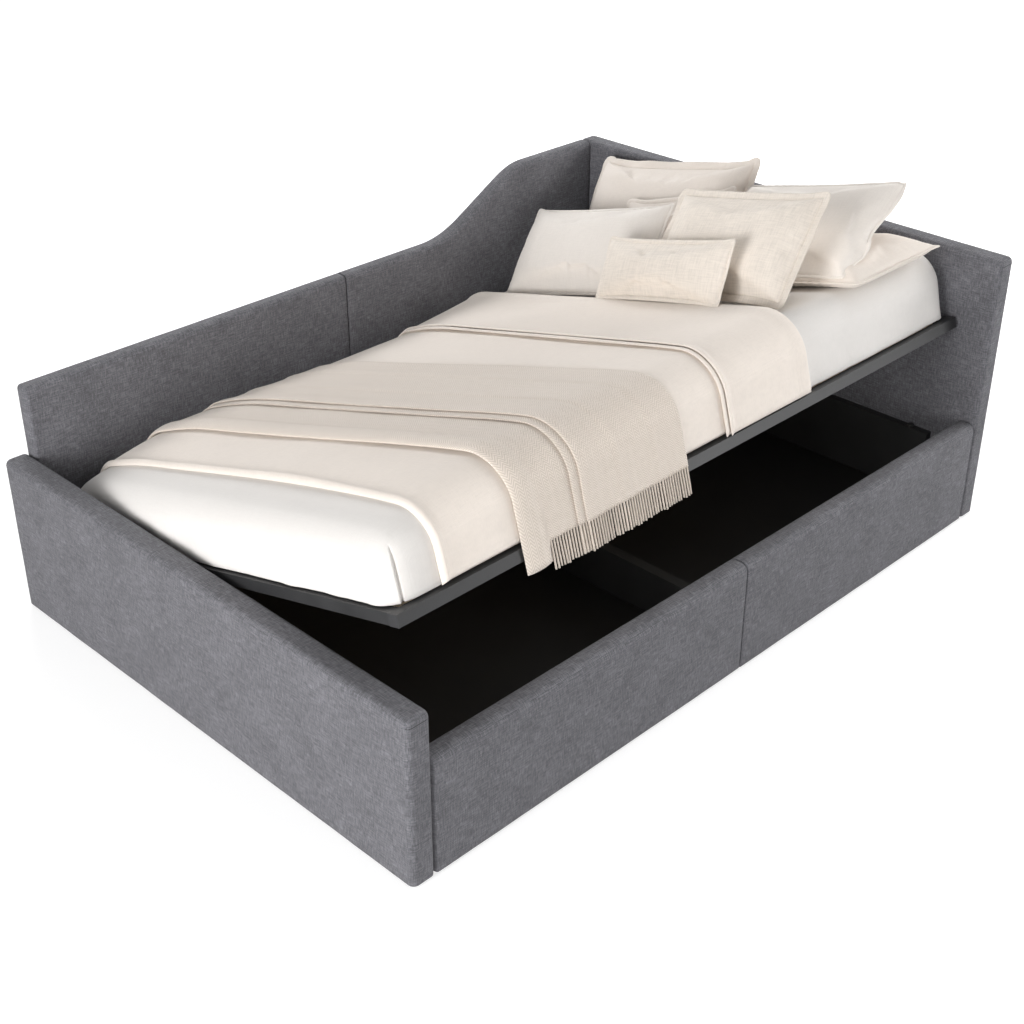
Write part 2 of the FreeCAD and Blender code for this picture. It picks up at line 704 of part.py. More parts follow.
def gas_strut(name, face, way):
    inner_tube = face + (dim.end_clearance + dim.tube_size) * way
    plate_far = inner_tube + dim.plate * way
    strut_x = inner_tube + dim.strut_inset * way + dim.plate * way
    eye_half = dim.eye_width / 2

    # offset bracket: flange on the end board, web, and flange that carries the stud
    thick = dim.plate
    y_far = strut_base_y - strut_flange_far
    y_near = strut_base_y - strut_flange_near
    loop = [(face, y_far), (face + thick * way, y_far), (face + thick * way, y_near - thick),
            (plate_far, y_near - thick), (plate_far, strut_base_y + dim.eye_radius * 2),
            (inner_tube, strut_base_y + dim.eye_radius * 2), (inner_tube, y_near), (face, y_near)]
    low = strut_base_z - dim.eye_radius * 2
    high = strut_base_z + dim.eye_radius * 3
    offset = padded("strut_offset_" + name, "XY_Plane", [loop], high - low, low)
    drilled = cut("strut_drilled_" + name, offset, hinge_bolts)
    base_stud = stud("base_stud_" + name, plate_far, way, strut_base_y, strut_base_z)
    node(fused("strut_bracket_" + name, [drilled] + base_stud), "strut_bracket_" + name)

    # lug on the inner side of the end tube
    half = dim.eye_radius * 2
    lug_loop = rectangle(strut_top_y - half, strut_top_y + half, strut_top_z - dim.eye_radius * 1.5,
                         platform_top - dim.slat_thickness - dim.holder_height - dim.slat_drop * 2)
    lug = padded("lug_plate_" + name, "YZ_Plane", [lug_loop], dim.plate,
                 min((inner_tube, plate_far), key=float))
    top_stud = stud("top_stud_" + name, plate_far, way, strut_top_y, strut_top_z)
    on_platform("strut_lug_" + name, [fused("lug_form_" + name, [lug] + top_stud)])

    def eye(part):
        ring = rod(part + "_eye_" + name, dim.eye_radius, -eye_half, eye_half, zero, zero)
        hole = rod(part + "_hole_" + name, dim.stud_radius + dim.running_gap, -eye_half, eye_half, zero, zero)
        return ring, hole

    # cylinder, along its own +Z from the base stud
    ring, hole = eye("cylinder")
    neck = post("cylinder_neck_" + name, dim.stud_radius, zero, dim.cylinder_base, zero, zero)
    barrel = post("cylinder_barrel_" + name, dim.cylinder_radius, dim.cylinder_base / 2 + dim.plate,
                  dim.cylinder_length, zero, zero)
    bore = post("cylinder_bore_" + name, dim.cylinder_bore, dim.cylinder_base,
                dim.cylinder_length - dim.gland_length, zero, zero)
    mouth = post("cylinder_mouth_" + name, dim.strut_rod_radius + dim.gland_gap, dim.cylinder_base,
                 dim.cylinder_length, zero, zero)
    solid = fused("cylinder_solid_" + name, [ring, neck, barrel])
    hollow = fused("cylinder_hollow_" + name, [hole, bore, mouth])
    cylinder = node(group("strut_cylinder_" + name, [cut("cylinder_form_" + name, solid, hollow)]),
                    "strut_cylinder_" + name)
    cylinder.Placement = FreeCAD.Placement(
        FreeCAD.Vector(float(strut_x), base_point.y, base_point.z), FreeCAD.Rotation(axis_x, strut_turn))

    # rod, along its own +Z from the platform's stud back into the cylinder
    ring, hole = eye("rod")
    shank = post("rod_shank_" + name, dim.strut_rod_radius, zero, dim.strut_rod_length, zero, zero)
    stem = cut("rod_form_" + name, fused("rod_solid_" + name, [ring, shank]), hole)
    made = node(group("strut_rod_" + name, [stem]), "strut_rod_" + name)
    made.Placement = FreeCAD.Placement(
        FreeCAD.Vector(float(strut_x), rest_top.y, rest_top.z), FreeCAD.Rotation(axis_x, strut_turn + 180))


gas_strut("foot", foot_face, 1)
gas_strut("head", head_face, -1)


# mattress

mattress = padded("mattress_form", "XY_Plane",
                  [rectangle(mattress_foot, mattress_head, mattress_front, mattress_back)],
                  mattress_top - mattress_bottom, mattress_bottom)
rounded(mattress, dim.mattress_corner, lambda edge: runs_along(edge, "z"))
rounded(mattress, dim.mattress_edge,
        lambda edge: flat_at(edge, "z", mattress_top - mattress_bottom))
rounded(mattress, dim.mattress_foot_edge, lambda edge: flat_at(edge, "z", 0))
on_platform("mattress", [mattress])


# bedding that lies over the mattress and hangs down its front and back

def draped(name, low, high, offset, thickness, front_hem, back_hem):
    # a sheet of the given thickness, offset from the mattress, from one hem over the top to the other
    inner_front_y = mattress_front - offset
    inner_back_y = mattress_back + offset
    inner_top = mattress_top + offset
    loop = [(inner_front_y, front_hem), (inner_front_y, inner_top), (inner_back_y, inner_top),
            (inner_back_y, back_hem), (inner_back_y + thickness, back_hem),
            (inner_back_y + thickness, inner_top + thickness),
            (inner_front_y - thickness, inner_top + thickness), (inner_front_y - thickness, front_hem)]
    body = padded(name, "YZ_Plane", [loop], high - low, low)
    rounded(body, dim.mattress_edge + offset,
            lambda edge: runs_along(edge, "x") and flat_at(edge, "z", inner_top))
    rounded(body, dim.mattress_edge + offset + thickness,
            lambda edge: runs_along(edge, "x") and flat_at(edge, "z", inner_top + thickness))
    return body


duvet_foot = mattress_foot + dim.duvet_foot_gap
duvet_head = mattress_head - dim.duvet_head_gap
duvet_front_hem = platform_top + dim.duvet_front_hem
duvet_back_hem = platform_top + dim.duvet_back_hem
band_offset = dim.soft_gap + dim.duvet_thickness


def strip_plan(name, front, back):
    # the plan of a strip between two spans along X, one at the front face and one at the back face
    loop = [(front[0], front_face), (front[1], front_face), (back[1], back_face), (back[0], back_face)]
    return padded(name, "XY_Plane", [loop], dim.rail_height * 3, zero)


half_skew = dim.duvet_head_skew / 2
duvet_reach = duvet_head + half_skew
head_front = duvet_head - half_skew
cover_sheet = draped("duvet_sheet", duvet_foot, duvet_reach, dim.soft_gap, dim.duvet_thickness,
                     duvet_front_hem, duvet_back_hem)
band_sheet = draped("band_sheet", duvet_foot, duvet_reach, band_offset, dim.band_thickness,
                    duvet_front_hem, duvet_back_hem)
cover_plan = strip_plan("duvet_plan", (duvet_foot, head_front), (duvet_foot, duvet_reach))
band_plan = strip_plan("band_plan", (head_front - dim.band_width, head_front),
                       (duvet_reach - dim.band_width, duvet_reach))
layers = [shared("duvet_lower", cover_sheet, cover_plan), shared("duvet_band", band_sheet, band_plan)]
on_platform("duvet", [fused("duvet_form", layers)])

throw_foot = mattress_foot + dim.throw_foot_gap
throw_offset = band_offset + dim.soft_gap
throw_reach = dim.throw_width + dim.throw_skew
throw_hem = platform_top - dim.throw_drop
throw_sheet = draped("throw_sheet", throw_foot, throw_foot + throw_reach, throw_offset, dim.throw_thickness,
                     throw_hem, duvet_back_hem)
fold_sheet = draped("fold_sheet", throw_foot, throw_foot + throw_reach, throw_offset + dim.throw_thickness,
                    dim.throw_fold_thickness, duvet_front_hem, duvet_back_hem)
folds = [("throw_lower", throw_sheet, zero, dim.throw_width),
         ("throw_roll", fold_sheet, zero, dim.throw_roll_width),
         ("throw_pleat", fold_sheet, dim.throw_pleat_start, dim.throw_pleat_width)]
strips = []
for name, layer, start, width in folds:
    at_back = throw_foot + start
    at_front = at_back + dim.throw_skew
    plan = strip_plan(name + "_plan", (at_front, at_front + width), (at_back, at_back + width))
    strips.append(shared(name, layer, plan))
on_platform("throw", [fused("throw_form", strips)])


# pillows: crowned forms with drawn-in long sides, leaning towards the headboard
# each seat gives the lower edge's middle: distance from the headboard, offset from the mattress's
# middle line and height over what carries it; then the turn, the lean and the roll in its own plane

carriers = {"mattress": mattress_top, "duvet": mattress_top + band_offset + dim.band_thickness}
pillows = {
    "pillow_back": dict(width=650, height=352, crown=110, on="mattress", seat=(258, 203, 18.25),
                        turn=0, lean=52, roll=-4),
    "pillow_side": dict(width=550, height=300, crown=96, on="mattress", seat=(532, 252, 0.4),
                        turn=0, lean=46, roll=0),
    "pillow_flat": dict(width=500, height=370, crown=40, on="mattress", seat=(440, -425, 20.4),
                        turn=0, lean=0, roll=0),
    "pillow_leaning": dict(width=470, height=362, crown=64, on="mattress", seat=(434, -418, 23.2),
                           turn=0, lean=28, roll=-2),
    "cushion_square": dict(width=520, height=342, crown=80, on="mattress", seat=(610, -322, 13.2),
                           turn=0, lean=45, roll=-4),
    "cushion_lumbar": dict(width=495, height=180, crown=64, on="duvet", seat=(656, -188, 0.4),
                           turn=-7, lean=58, roll=0),
    "cushion_hidden": dict(width=420, height=272, crown=50, on="mattress", seat=(380, 76, 17.7),
                           turn=0, lean=52, roll=6),
}
section_places = (-1.0, -0.82, -0.5, 0.0, 0.5, 0.82, 1.0)
drawn_in = 0.06
end_share = 0.12


def pillow_shape(width, height, crown):
    # lens sections along the width, fuller and shorter in the middle, thin at the ends
    wires = []
    for place in section_places:
        reach = height / 2 * (1 - drawn_in * (1 - place * place))
        full = crown / 2 * math.sqrt(1 - (1 - end_share ** 2) * place * place)
        x = width / 2 * place
        low = FreeCAD.Vector(x, -reach, 0)
        high = FreeCAD.Vector(x, reach, 0)
        upper = Part.Arc(low, FreeCAD.Vector(x, 0, full), high).toShape()
        lower = Part.Arc(high, FreeCAD.Vector(x, 0, -full), low).toShape()
        wires.append(Part.Wire([upper, lower]))
    return Part.makeLoft(wires, True, False)


def pillow(label, width, height, crown, on, seat, turn, lean, roll):
    made = doc.addObject("Part::Feature", label)
    made.Shape = pillow_shape(width, height, crown)
    spin = (FreeCAD.Rotation(axis_z, turn) * FreeCAD.Rotation(axis_y, -lean)
            * FreeCAD.Rotation(axis_z, roll - 90))
    foot = FreeCAD.Vector(float(head_face) - seat[0], float(mattress_middle) + seat[1],
                          float(carriers[on]) + seat[2])
    centre = foot + spin.multVec(axis_y) * (height / 2)
    made.Placement = lift * FreeCAD.Placement(centre, spin)
    node(made, label)


for label, form in pillows.items():
    pillow(label, **form)


# every object is sound before anything is written

doc.recompute()
for thing in doc.Objects:
    if "Invalid" in thing.State or "Error" in thing.State:
        raise RuntimeError("%s failed: %s" % (thing.Name, thing.State))
for thing in nodes:
    if thing.Shape.isNull() or not thing.Shape.isValid() or not thing.Shape.Solids:
        raise RuntimeError("%s has no sound solid" % thing.Label)
os.makedirs("parts", exist_ok=True)
for thing in nodes:
    thing.Shape.exportStep("parts/%s.step" % thing.Label)
print("%d nodes, %d solids" % (len(nodes), sum(len(thing.Shape.Solids) for thing in nodes)))
print("hinge axis at y %.2f, z %.2f" % (hinge_centre.y, hinge_centre.z))
print("strut base at y %.2f, z %.2f and top at y %.2f, z %.2f" % (
    base_point.y, base_point.z, rest_top.y, rest_top.z))
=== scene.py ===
import bpy
import json
import math
import random
import numpy as np
from mathutils import Matrix, Vector, noise


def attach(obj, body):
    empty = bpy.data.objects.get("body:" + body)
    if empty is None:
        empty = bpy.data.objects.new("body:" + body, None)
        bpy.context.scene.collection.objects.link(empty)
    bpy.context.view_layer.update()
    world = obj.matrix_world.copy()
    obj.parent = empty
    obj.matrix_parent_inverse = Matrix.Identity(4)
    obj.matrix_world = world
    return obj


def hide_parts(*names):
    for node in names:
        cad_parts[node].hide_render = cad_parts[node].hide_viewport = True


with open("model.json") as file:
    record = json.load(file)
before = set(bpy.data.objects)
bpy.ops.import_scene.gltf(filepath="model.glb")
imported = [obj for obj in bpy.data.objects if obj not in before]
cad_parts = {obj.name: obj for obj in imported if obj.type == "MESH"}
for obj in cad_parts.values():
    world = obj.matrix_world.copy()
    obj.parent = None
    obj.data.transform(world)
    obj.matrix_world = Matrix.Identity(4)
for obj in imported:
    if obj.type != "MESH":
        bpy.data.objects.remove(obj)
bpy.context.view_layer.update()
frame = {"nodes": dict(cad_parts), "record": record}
scene = bpy.context.scene
scene.view_settings.view_transform = "Standard"
random.seed(7)  # the strands of the fringe differ in the same way each run

# the shut platform in the row frame, metres, and its lift about the hinge line
bed = dict(liftDegrees=16.0, hinge=(0.0, 0.505, 0.339), headFace=1.011, topEdge=0.085,
           matLow=(-0.993, -0.6506, 0.2698), matHigh=(0.995, 0.639, 0.459))
hingePoint = Vector(bed["hinge"])
liftTurn = Matrix.Rotation(math.radians(-bed["liftDegrees"]), 4, "X")
liftMatrix = Matrix.Translation(hingePoint) @ liftTurn @ Matrix.Translation(-hingePoint)

# how the filling gives way: lower towards the foot, the back and the front edge of the bed
settling = dict(foot=0.055, footReach=0.42, back=0.032, backReach=0.32, front=0.006, frontReach=0.2,
                headStart=0.15, headEnd=0.42, tallest=1.2)


def settle(points):
    co = np.array(points, float)
    low, high = bed["matLow"], bed["matHigh"]
    headStart, headEnd = settling["headStart"], settling["headEnd"]
    fade = lambda away, reach: np.clip(1 - away / reach, 0, 1) ** 2
    tall = np.clip((co[:, 2] - low[2]) / (high[2] - low[2]), 0, settling["tallest"])
    kept = np.clip((headEnd - co[:, 0]) / (headEnd - headStart), 0, 1)  # the pillows' end stays level
    drop = settling["foot"] * fade(co[:, 0] - low[0], settling["footReach"])
    drop += kept * settling["back"] * fade(np.maximum(high[1] - co[:, 1], 0), settling["backReach"])
    drop += kept * settling["front"] * fade(np.maximum(co[:, 1] - low[1], 0), settling["frontReach"])
    co[:, 2] -= drop * tall
    return co


def makePiece(name, verts, faces, body, material, matrix=None):
    mesh = bpy.data.meshes.new(name)
    mesh.from_pydata([tuple(v) for v in verts], [], faces)
    mesh.update()
    piece = bpy.data.objects.new(name, mesh)
    scene.collection.objects.link(piece)
    if matrix is not None:
        piece.matrix_world = matrix
    mesh.shade_smooth()
    mesh.materials.append(material)
    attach(piece, body)
    return piece


# finishes: small helpers for shader nodes, then one function for each kind of surface
def startFinish(name, roughness, color=(0.5, 0.5, 0.5), metallic=0.0, sheen=0.0):
    made = bpy.data.materials.new(name)
    made.use_nodes = True
    shader = made.node_tree.nodes["Principled BSDF"]
    shader.inputs["Roughness"].default_value = roughness
    shader.inputs["Metallic"].default_value = metallic
    shader.inputs["Base Color"].default_value = (*color, 1)
    if sheen:
        shader.inputs["Sheen Weight"].default_value = sheen
        shader.inputs["Sheen Roughness"].default_value = 0.5
    return made, made.node_tree, shader


def put(tree, kind, props=None, **sockets):
    made = tree.nodes.new(kind)
    for key, value in (props or {}).items():
        setattr(made, key, value)
    for key, value in sockets.items():
        made.inputs[key.replace("_", " ")].default_value = value
    return made


def wire(tree, source, target):
    tree.links.new(source, target)


def sums(tree, operation, first, second):
    made = put(tree, "ShaderNodeMath", dict(operation=operation))
    for socket, value in zip(made.inputs, (first, second)):
        if isinstance(value, (int, float)):
            socket.default_value = value
        else:
            wire(tree, value, socket)
    return made.outputs[0]


def blend(tree, look, **patterns):
    # the patterns added up, each with its weight in the look
    total = None
    for name, pattern in patterns.items():
        part = sums(tree, "MULTIPLY", pattern, look[name])
        total = part if total is None else sums(tree, "ADD", total, part)
    return total


def stretched(tree, vector, scale, detail=3.0, rough=0.55):
    mapping = put(tree, "ShaderNodeMapping")
    mapping.inputs["Scale"].default_value = scale
    wire(tree, vector, mapping.inputs["Vector"])
    grains = put(tree, "ShaderNodeTexNoise", Scale=1.0, Detail=detail, Roughness=rough)
    wire(tree, mapping.outputs[0], grains.inputs["Vector"])
    return grains.outputs["Fac"]


waveRepeat = 0.314  # a band texture of scale 1 repeats after this many metres


def threads(tree, vector, axis, pitch):
    bands = put(tree, "ShaderNodeTexWave", dict(wave_type="BANDS", bands_direction=axis),
                Scale=waveRepeat / pitch, Distortion=1.2, Detail=1.0, Detail_Scale=2.0)
    wire(tree, vector, bands.inputs["Vector"])
    return bands.outputs["Fac"]


def crossedThreads(tree, vector, pitch):
    return sums(tree, "MULTIPLY", threads(tree, vector, "X", pitch), threads(tree, vector, "Y", pitch))


def shadeRange(tree, factor, places, colors):
    ramp = put(tree, "ShaderNodeValToRGB")
    while len(ramp.color_ramp.elements) < len(places):
        ramp.color_ramp.elements.new(0.5)
    for element, place, color in zip(ramp.color_ramp.elements, places, colors):
        element.position = place
        element.color = (*color, 1)
    wire(tree, factor, ramp.inputs["Fac"])
    return ramp.outputs["Color"]


def raised(tree, shader, height, strength, distance):
    bump = put(tree, "ShaderNodeBump", Strength=strength, Distance=distance)
    wire(tree, height, bump.inputs["Height"])
    wire(tree, bump.outputs["Normal"], shader.inputs["Normal"])


def tint(color, amount):
    return tuple(min(1.0, c * amount) for c in color)


upholsteryLook = dict(dark=(0.076, 0.0752, 0.0834), middle=(0.134, 0.1325, 0.1466),
                      light=(0.236, 0.233, 0.254), shades=(0.43, 0.5, 0.59), threadPitch=0.0021,
                      warpScale=(364, 42, 1), weftScale=(31.5, 364, 1), cloudScale=(9, 9, 1),
                      warp=0.40, weft=0.38, cloud=0.12, weave=0.14, raisedWeave=0.5, bump=0.6,
                      bumpDepth=0.0016, faceTurn=0.7, roughness=0.92, sheen=0.1)


def upholsteryFinish():
    look = upholsteryLook
    made, tree, shader = startFinish("charcoalLinen", look["roughness"], sheen=look["sheen"])
    place = put(tree, "ShaderNodeTexCoord").outputs["Object"]
    facing = put(tree, "ShaderNodeTexCoord").outputs["Normal"]
    axes = put(tree, "ShaderNodeSeparateXYZ")
    wire(tree, place, axes.inputs[0])
    turned = put(tree, "ShaderNodeSeparateXYZ")
    wire(tree, facing, turned.inputs[0])
    sideways = sums(tree, "GREATER_THAN", sums(tree, "ABSOLUTE", turned.outputs[0], 0), look["faceTurn"])
    upward = sums(tree, "GREATER_THAN", sums(tree, "ABSOLUTE", turned.outputs[2], 0), look["faceTurn"])

    def choose(first, second, factor):
        mixed = put(tree, "ShaderNodeMix", dict(data_type="FLOAT"))
        wire(tree, factor, mixed.inputs[0])
        wire(tree, first, mixed.inputs[2])
        wire(tree, second, mixed.inputs[3])
        return mixed.outputs[0]

    cloth = put(tree, "ShaderNodeCombineXYZ")  # warp and weft follow each face of the panel
    wire(tree, choose(axes.outputs[0], axes.outputs[1], sideways), cloth.inputs[0])
    wire(tree, choose(axes.outputs[2], axes.outputs[1], upward), cloth.inputs[1])
    vector = cloth.outputs[0]
    warp = stretched(tree, vector, look["warpScale"], 4, rough=0.7)
    weft = stretched(tree, vector, look["weftScale"], 4, rough=0.7)
    cloud = stretched(tree, vector, look["cloudScale"], 5)
    weave = crossedThreads(tree, vector, look["threadPitch"])
    mixed = blend(tree, look, warp=warp, weft=weft, cloud=cloud, weave=weave)
    color = shadeRange(tree, mixed, look["shades"], (look["dark"], look["middle"], look["light"]))
    wire(tree, color, shader.inputs["Base Color"])
    height = sums(tree, "ADD", mixed, sums(tree, "MULTIPLY", weave, look["raisedWeave"]))
    raised(tree, shader, height, look["bump"], look["bumpDepth"])
    return made


clothLook = dict(roughness=0.93, sheen=0.15, across=8, along=0.6, cloudScale=(7, 7, 7), warp=0.36,
                 weft=0.34, cloud=0.2, weave=0.1, shades=(0.34, 0.5, 0.68), lightShare=0.8,
                 raisedWeave=0.6, bump=0.35, bumpDepth=0.0008)


def clothFinish(name, color, pitch, slub, contrast):
    look = clothLook
    made, tree, shader = startFinish(name, look["roughness"], sheen=look["sheen"])
    vector = put(tree, "ShaderNodeTexCoord").outputs["Object"]
    across, along = slub * look["across"], slub * look["along"]
    warp = stretched(tree, vector, (across, along, slub))
    weft = stretched(tree, vector, (along, across, slub))
    cloud = stretched(tree, vector, look["cloudScale"], 4)
    weave = crossedThreads(tree, vector, pitch)
    mixed = blend(tree, look, warp=warp, weft=weft, cloud=cloud, weave=weave)
    colors = (tint(color, 1 - contrast), color, tint(color, 1 + contrast * look["lightShare"]))
    wire(tree, shadeRange(tree, mixed, look["shades"], colors), shader.inputs["Base Color"])
    height = sums(tree, "ADD", mixed, sums(tree, "MULTIPLY", weave, look["raisedWeave"]))
    raised(tree, shader, height, look["bump"], look["bumpDepth"])
    return made


throwLook = dict(light=(0.77, 0.69, 0.615), dark=(0.58, 0.505, 0.435), shades=(0.2, 0.8), rib=0.020,
                 stripe=0.0062, slope=1.0, stripeShare=0.30, cloudScale=(60, 60, 1), cloud=0.35,
                 fuzzScale=(900, 900, 1), fuzz=0.5, bump=0.5, bumpDepth=0.0015, roughness=0.95, sheen=0.25)


def herringboneFinish():
    look = throwLook
    made, tree, shader = startFinish("herringboneWool", look["roughness"], sheen=look["sheen"])
    vector = put(tree, "ShaderNodeUVMap", dict(uv_map="cloth")).outputs[0]
    axes = put(tree, "ShaderNodeSeparateXYZ")
    wire(tree, vector, axes.inputs[0])
    rib = put(tree, "ShaderNodeMath", dict(operation="PINGPONG"))  # ribs turn the slope to and fro
    wire(tree, axes.outputs[0], rib.inputs[0])
    rib.inputs[1].default_value = look["rib"] / 2
    along = sums(tree, "ADD", axes.outputs[1], sums(tree, "MULTIPLY", rib.outputs[0], look["slope"]))
    wave = sums(tree, "SINE", sums(tree, "MULTIPLY", along, 2 * math.pi / look["stripe"]), 0)
    mixed = sums(tree, "ADD", sums(tree, "MULTIPLY", wave, look["stripeShare"]), 0.5)
    cloud = stretched(tree, vector, look["cloudScale"], 4)
    fuzz = stretched(tree, vector, look["fuzzScale"], 2)
    for pattern, weight in ((cloud, look["cloud"]), (fuzz, look["fuzz"])):
        swing = sums(tree, "SUBTRACT", pattern, 0.5)
        mixed = sums(tree, "ADD", mixed, sums(tree, "MULTIPLY", swing, weight))
    color = shadeRange(tree, mixed, look["shades"], (look["dark"], look["light"]))
    wire(tree, color, shader.inputs["Base Color"])
    raised(tree, shader, mixed, look["bump"], look["bumpDepth"])
    return made


woodLook = dict(along="x", grainScale=(3.0, 90.0), figureScale=(1.2, 14.0), grain=0.55, figure=0.45,
                shades=(0.36, 0.62), bump=0.25, bumpDepth=0.0006)


def woodFinish(name, dark, light, roughness):
    look = woodLook
    made, tree, shader = startFinish(name, roughness)
    vector = put(tree, "ShaderNodeTexCoord").outputs["Object"]

    def lengthwise(scale):
        return [scale[0] if axis == look["along"] else scale[1] for axis in "xyz"]

    grain = stretched(tree, vector, lengthwise(look["grainScale"]), 6, 0.6)
    figure = stretched(tree, vector, lengthwise(look["figureScale"]))
    mixed = blend(tree, look, grain=grain, figure=figure)
    wire(tree, shadeRange(tree, mixed, look["shades"], (dark, light)), shader.inputs["Base Color"])
    raised(tree, shader, grain, look["bump"], look["bumpDepth"])
    return made


coatLook = dict(wideScale=(11, 11, 11), fine=0.5, wide=0.5, shades=(0.36, 0.64), gloss=0.35, bump=0.2,
                bumpDepth=0.0004)


def coatFinish(name, color, roughness, metallic, speckle, grain):
    # painted, plated or moulded surface: fine texture in colour, gloss and height
    look = coatLook
    made, tree, shader = startFinish(name, roughness, metallic=metallic)
    vector = put(tree, "ShaderNodeTexCoord").outputs["Object"]
    fine = stretched(tree, vector, (grain, grain, grain))
    wide = stretched(tree, vector, look["wideScale"], 4)
    mixed = blend(tree, look, fine=fine, wide=wide)
    colors = (tint(color, 1 - speckle), tint(color, 1 + speckle))
    wire(tree, shadeRange(tree, mixed, look["shades"], colors), shader.inputs["Base Color"])
    swing = sums(tree, "MULTIPLY", sums(tree, "SUBTRACT", mixed, 0.5), look["gloss"])
    wire(tree, sums(tree, "ADD", swing, roughness), shader.inputs["Roughness"])
    raised(tree, shader, fine, look["bump"], look["bumpDepth"])
    return made


charcoal = upholsteryFinish()
sheetCotton = clothFinish("whiteSheet", (0.755, 0.728, 0.70), pitch=0.0011, slub=60, contrast=0.03)
duvetCotton = clothFinish("beigeCotton", (0.82, 0.745, 0.675), pitch=0.0014, slub=70, contrast=0.06)
pillowCotton = clothFinish("pillowCotton", (0.79, 0.72, 0.655), pitch=0.0014, slub=70, contrast=0.055)
linenBeige = clothFinish("beigeLinen", (0.80, 0.728, 0.65), pitch=0.0019, slub=40, contrast=0.15)
paleCotton = clothFinish("paleCotton", (0.82, 0.768, 0.715), pitch=0.0015, slub=65, contrast=0.06)
wool = herringboneFinish()
fringeWool = clothFinish("fringeWool", (0.66, 0.58, 0.50), pitch=0.0012, slub=300, contrast=0.18)
seamThread = clothFinish("seamThread", (0.05, 0.05, 0.056), pitch=0.0012, slub=300, contrast=0.2)

# a coat has name, colour, roughness, metallic, speckle and grain; a wood has name, dark, light and roughness
slotCoats = dict(black_board=("blackBoard", (0.010, 0.010, 0.010), 0.6, 0.0, 0.35, 420),
                 black_steel=("blackPowderCoat", (0.017, 0.017, 0.018), 0.45, 0.0, 0.3, 1500),
                 zinc_steel=("zincSteel", (0.62, 0.62, 0.60), 0.34, 1.0, 0.12, 700),
                 bright_rod=("brightRod", (0.72, 0.72, 0.74), 0.12, 1.0, 0.05, 900),
                 black_plastic=("blackPlastic", (0.024, 0.024, 0.026), 0.55, 0.0, 0.25, 900),
                 black_rubber=("blackRubber", (0.02, 0.02, 0.02), 0.8, 0.0, 0.3, 600))
slotWoods = dict(core_board=("coreWood", (0.40, 0.28, 0.17), (0.60, 0.45, 0.30), 0.75),
                 bare_wood=("bareWood", (0.26, 0.165, 0.095), (0.42, 0.29, 0.18), 0.7),
                 slat_wood=("slatBirch", (0.58, 0.43, 0.27), (0.76, 0.61, 0.43), 0.5))
slotFinish = {slot: coatFinish(*look) for slot, look in slotCoats.items()}
slotFinish.update({slot: woodFinish(*look) for slot, look in slotWoods.items()})
for part in frame["record"]["subparts"]:
    if part["material_slot"] in slotFinish:
        node = frame["nodes"][part["node"]]
        node.data.materials.clear()
        node.data.materials.append(slotFinish[part["material_slot"]])
print("finishes made")

# upholstered panels: blocks with rounded edges, crowned and slightly wavy on the outside
roundingShares = (0, 0.12, 0.28, 0.46, 0.64, 0.82, 1.0)  # grid lines over a rounded edge


def gridLines(low, high, edgeLow, edgeHigh, step, extra=()):
    lines = [low + edgeLow * share for share in roundingShares]
    middle = high - edgeHigh - low - edgeLow
    count = max(1, round(middle / step))
    lines += [low + edgeLow + middle * i / count for i in range(1, count)]
    lines += [high - edgeHigh * share for share in roundingShares]
    return sorted(set(round(v, 6) for v in lines + list(extra)))


def roundedBlock(low, high, edge, step, extra=((), (), ())):
    # edge gives the rounding per axis as (at the low end, at the high end)
    lines = [gridLines(low[i], high[i], edge[i][0], edge[i][1], step, extra[i]) for i in range(3)]
    index, points, faces = {}, [], []

    def corner(a, b, c):
        key = (a, b, c)
        if key not in index:
            index[key] = len(points)
            points.append((lines[0][a], lines[1][b], lines[2][c]))
        return index[key]

    for axis in range(3):
        first, second = [i for i in range(3) if i != axis]
        for end in (0, len(lines[axis]) - 1):
            for i in range(len(lines[first]) - 1):
                for j in range(len(lines[second]) - 1):
                    quad = []
                    for di, dj in ((0, 0), (1, 0), (1, 1), (0, 1)):
                        spot = [0, 0, 0]
                        spot[axis], spot[first], spot[second] = end, i + di, j + dj
                        quad.append(corner(*spot))
                    flip = (end == 0) != (axis == 1)
                    faces.append(quad[::-1] if flip else quad)
    co = np.array(points, float)
    lowEdge = np.array([e[0] for e in edge])
    highEdge = np.array([e[1] for e in edge])
    inner = np.clip(co, np.array(low) + lowEdge, np.array(high) - highEdge)
    away = co - inner
    radius = np.where(away < 0, lowEdge, highEdge)
    unit = away / np.maximum(radius, 1e-9)
    length = np.linalg.norm(unit, axis=1, keepdims=True)
    return inner + unit / np.maximum(length, 1e-9) * radius, faces


def ripple(co, scale, seed):
    shift = Vector((seed, seed * 1.7, seed * 0.6))
    return np.array([noise.noise(Vector(p) * scale + shift) for p in co])


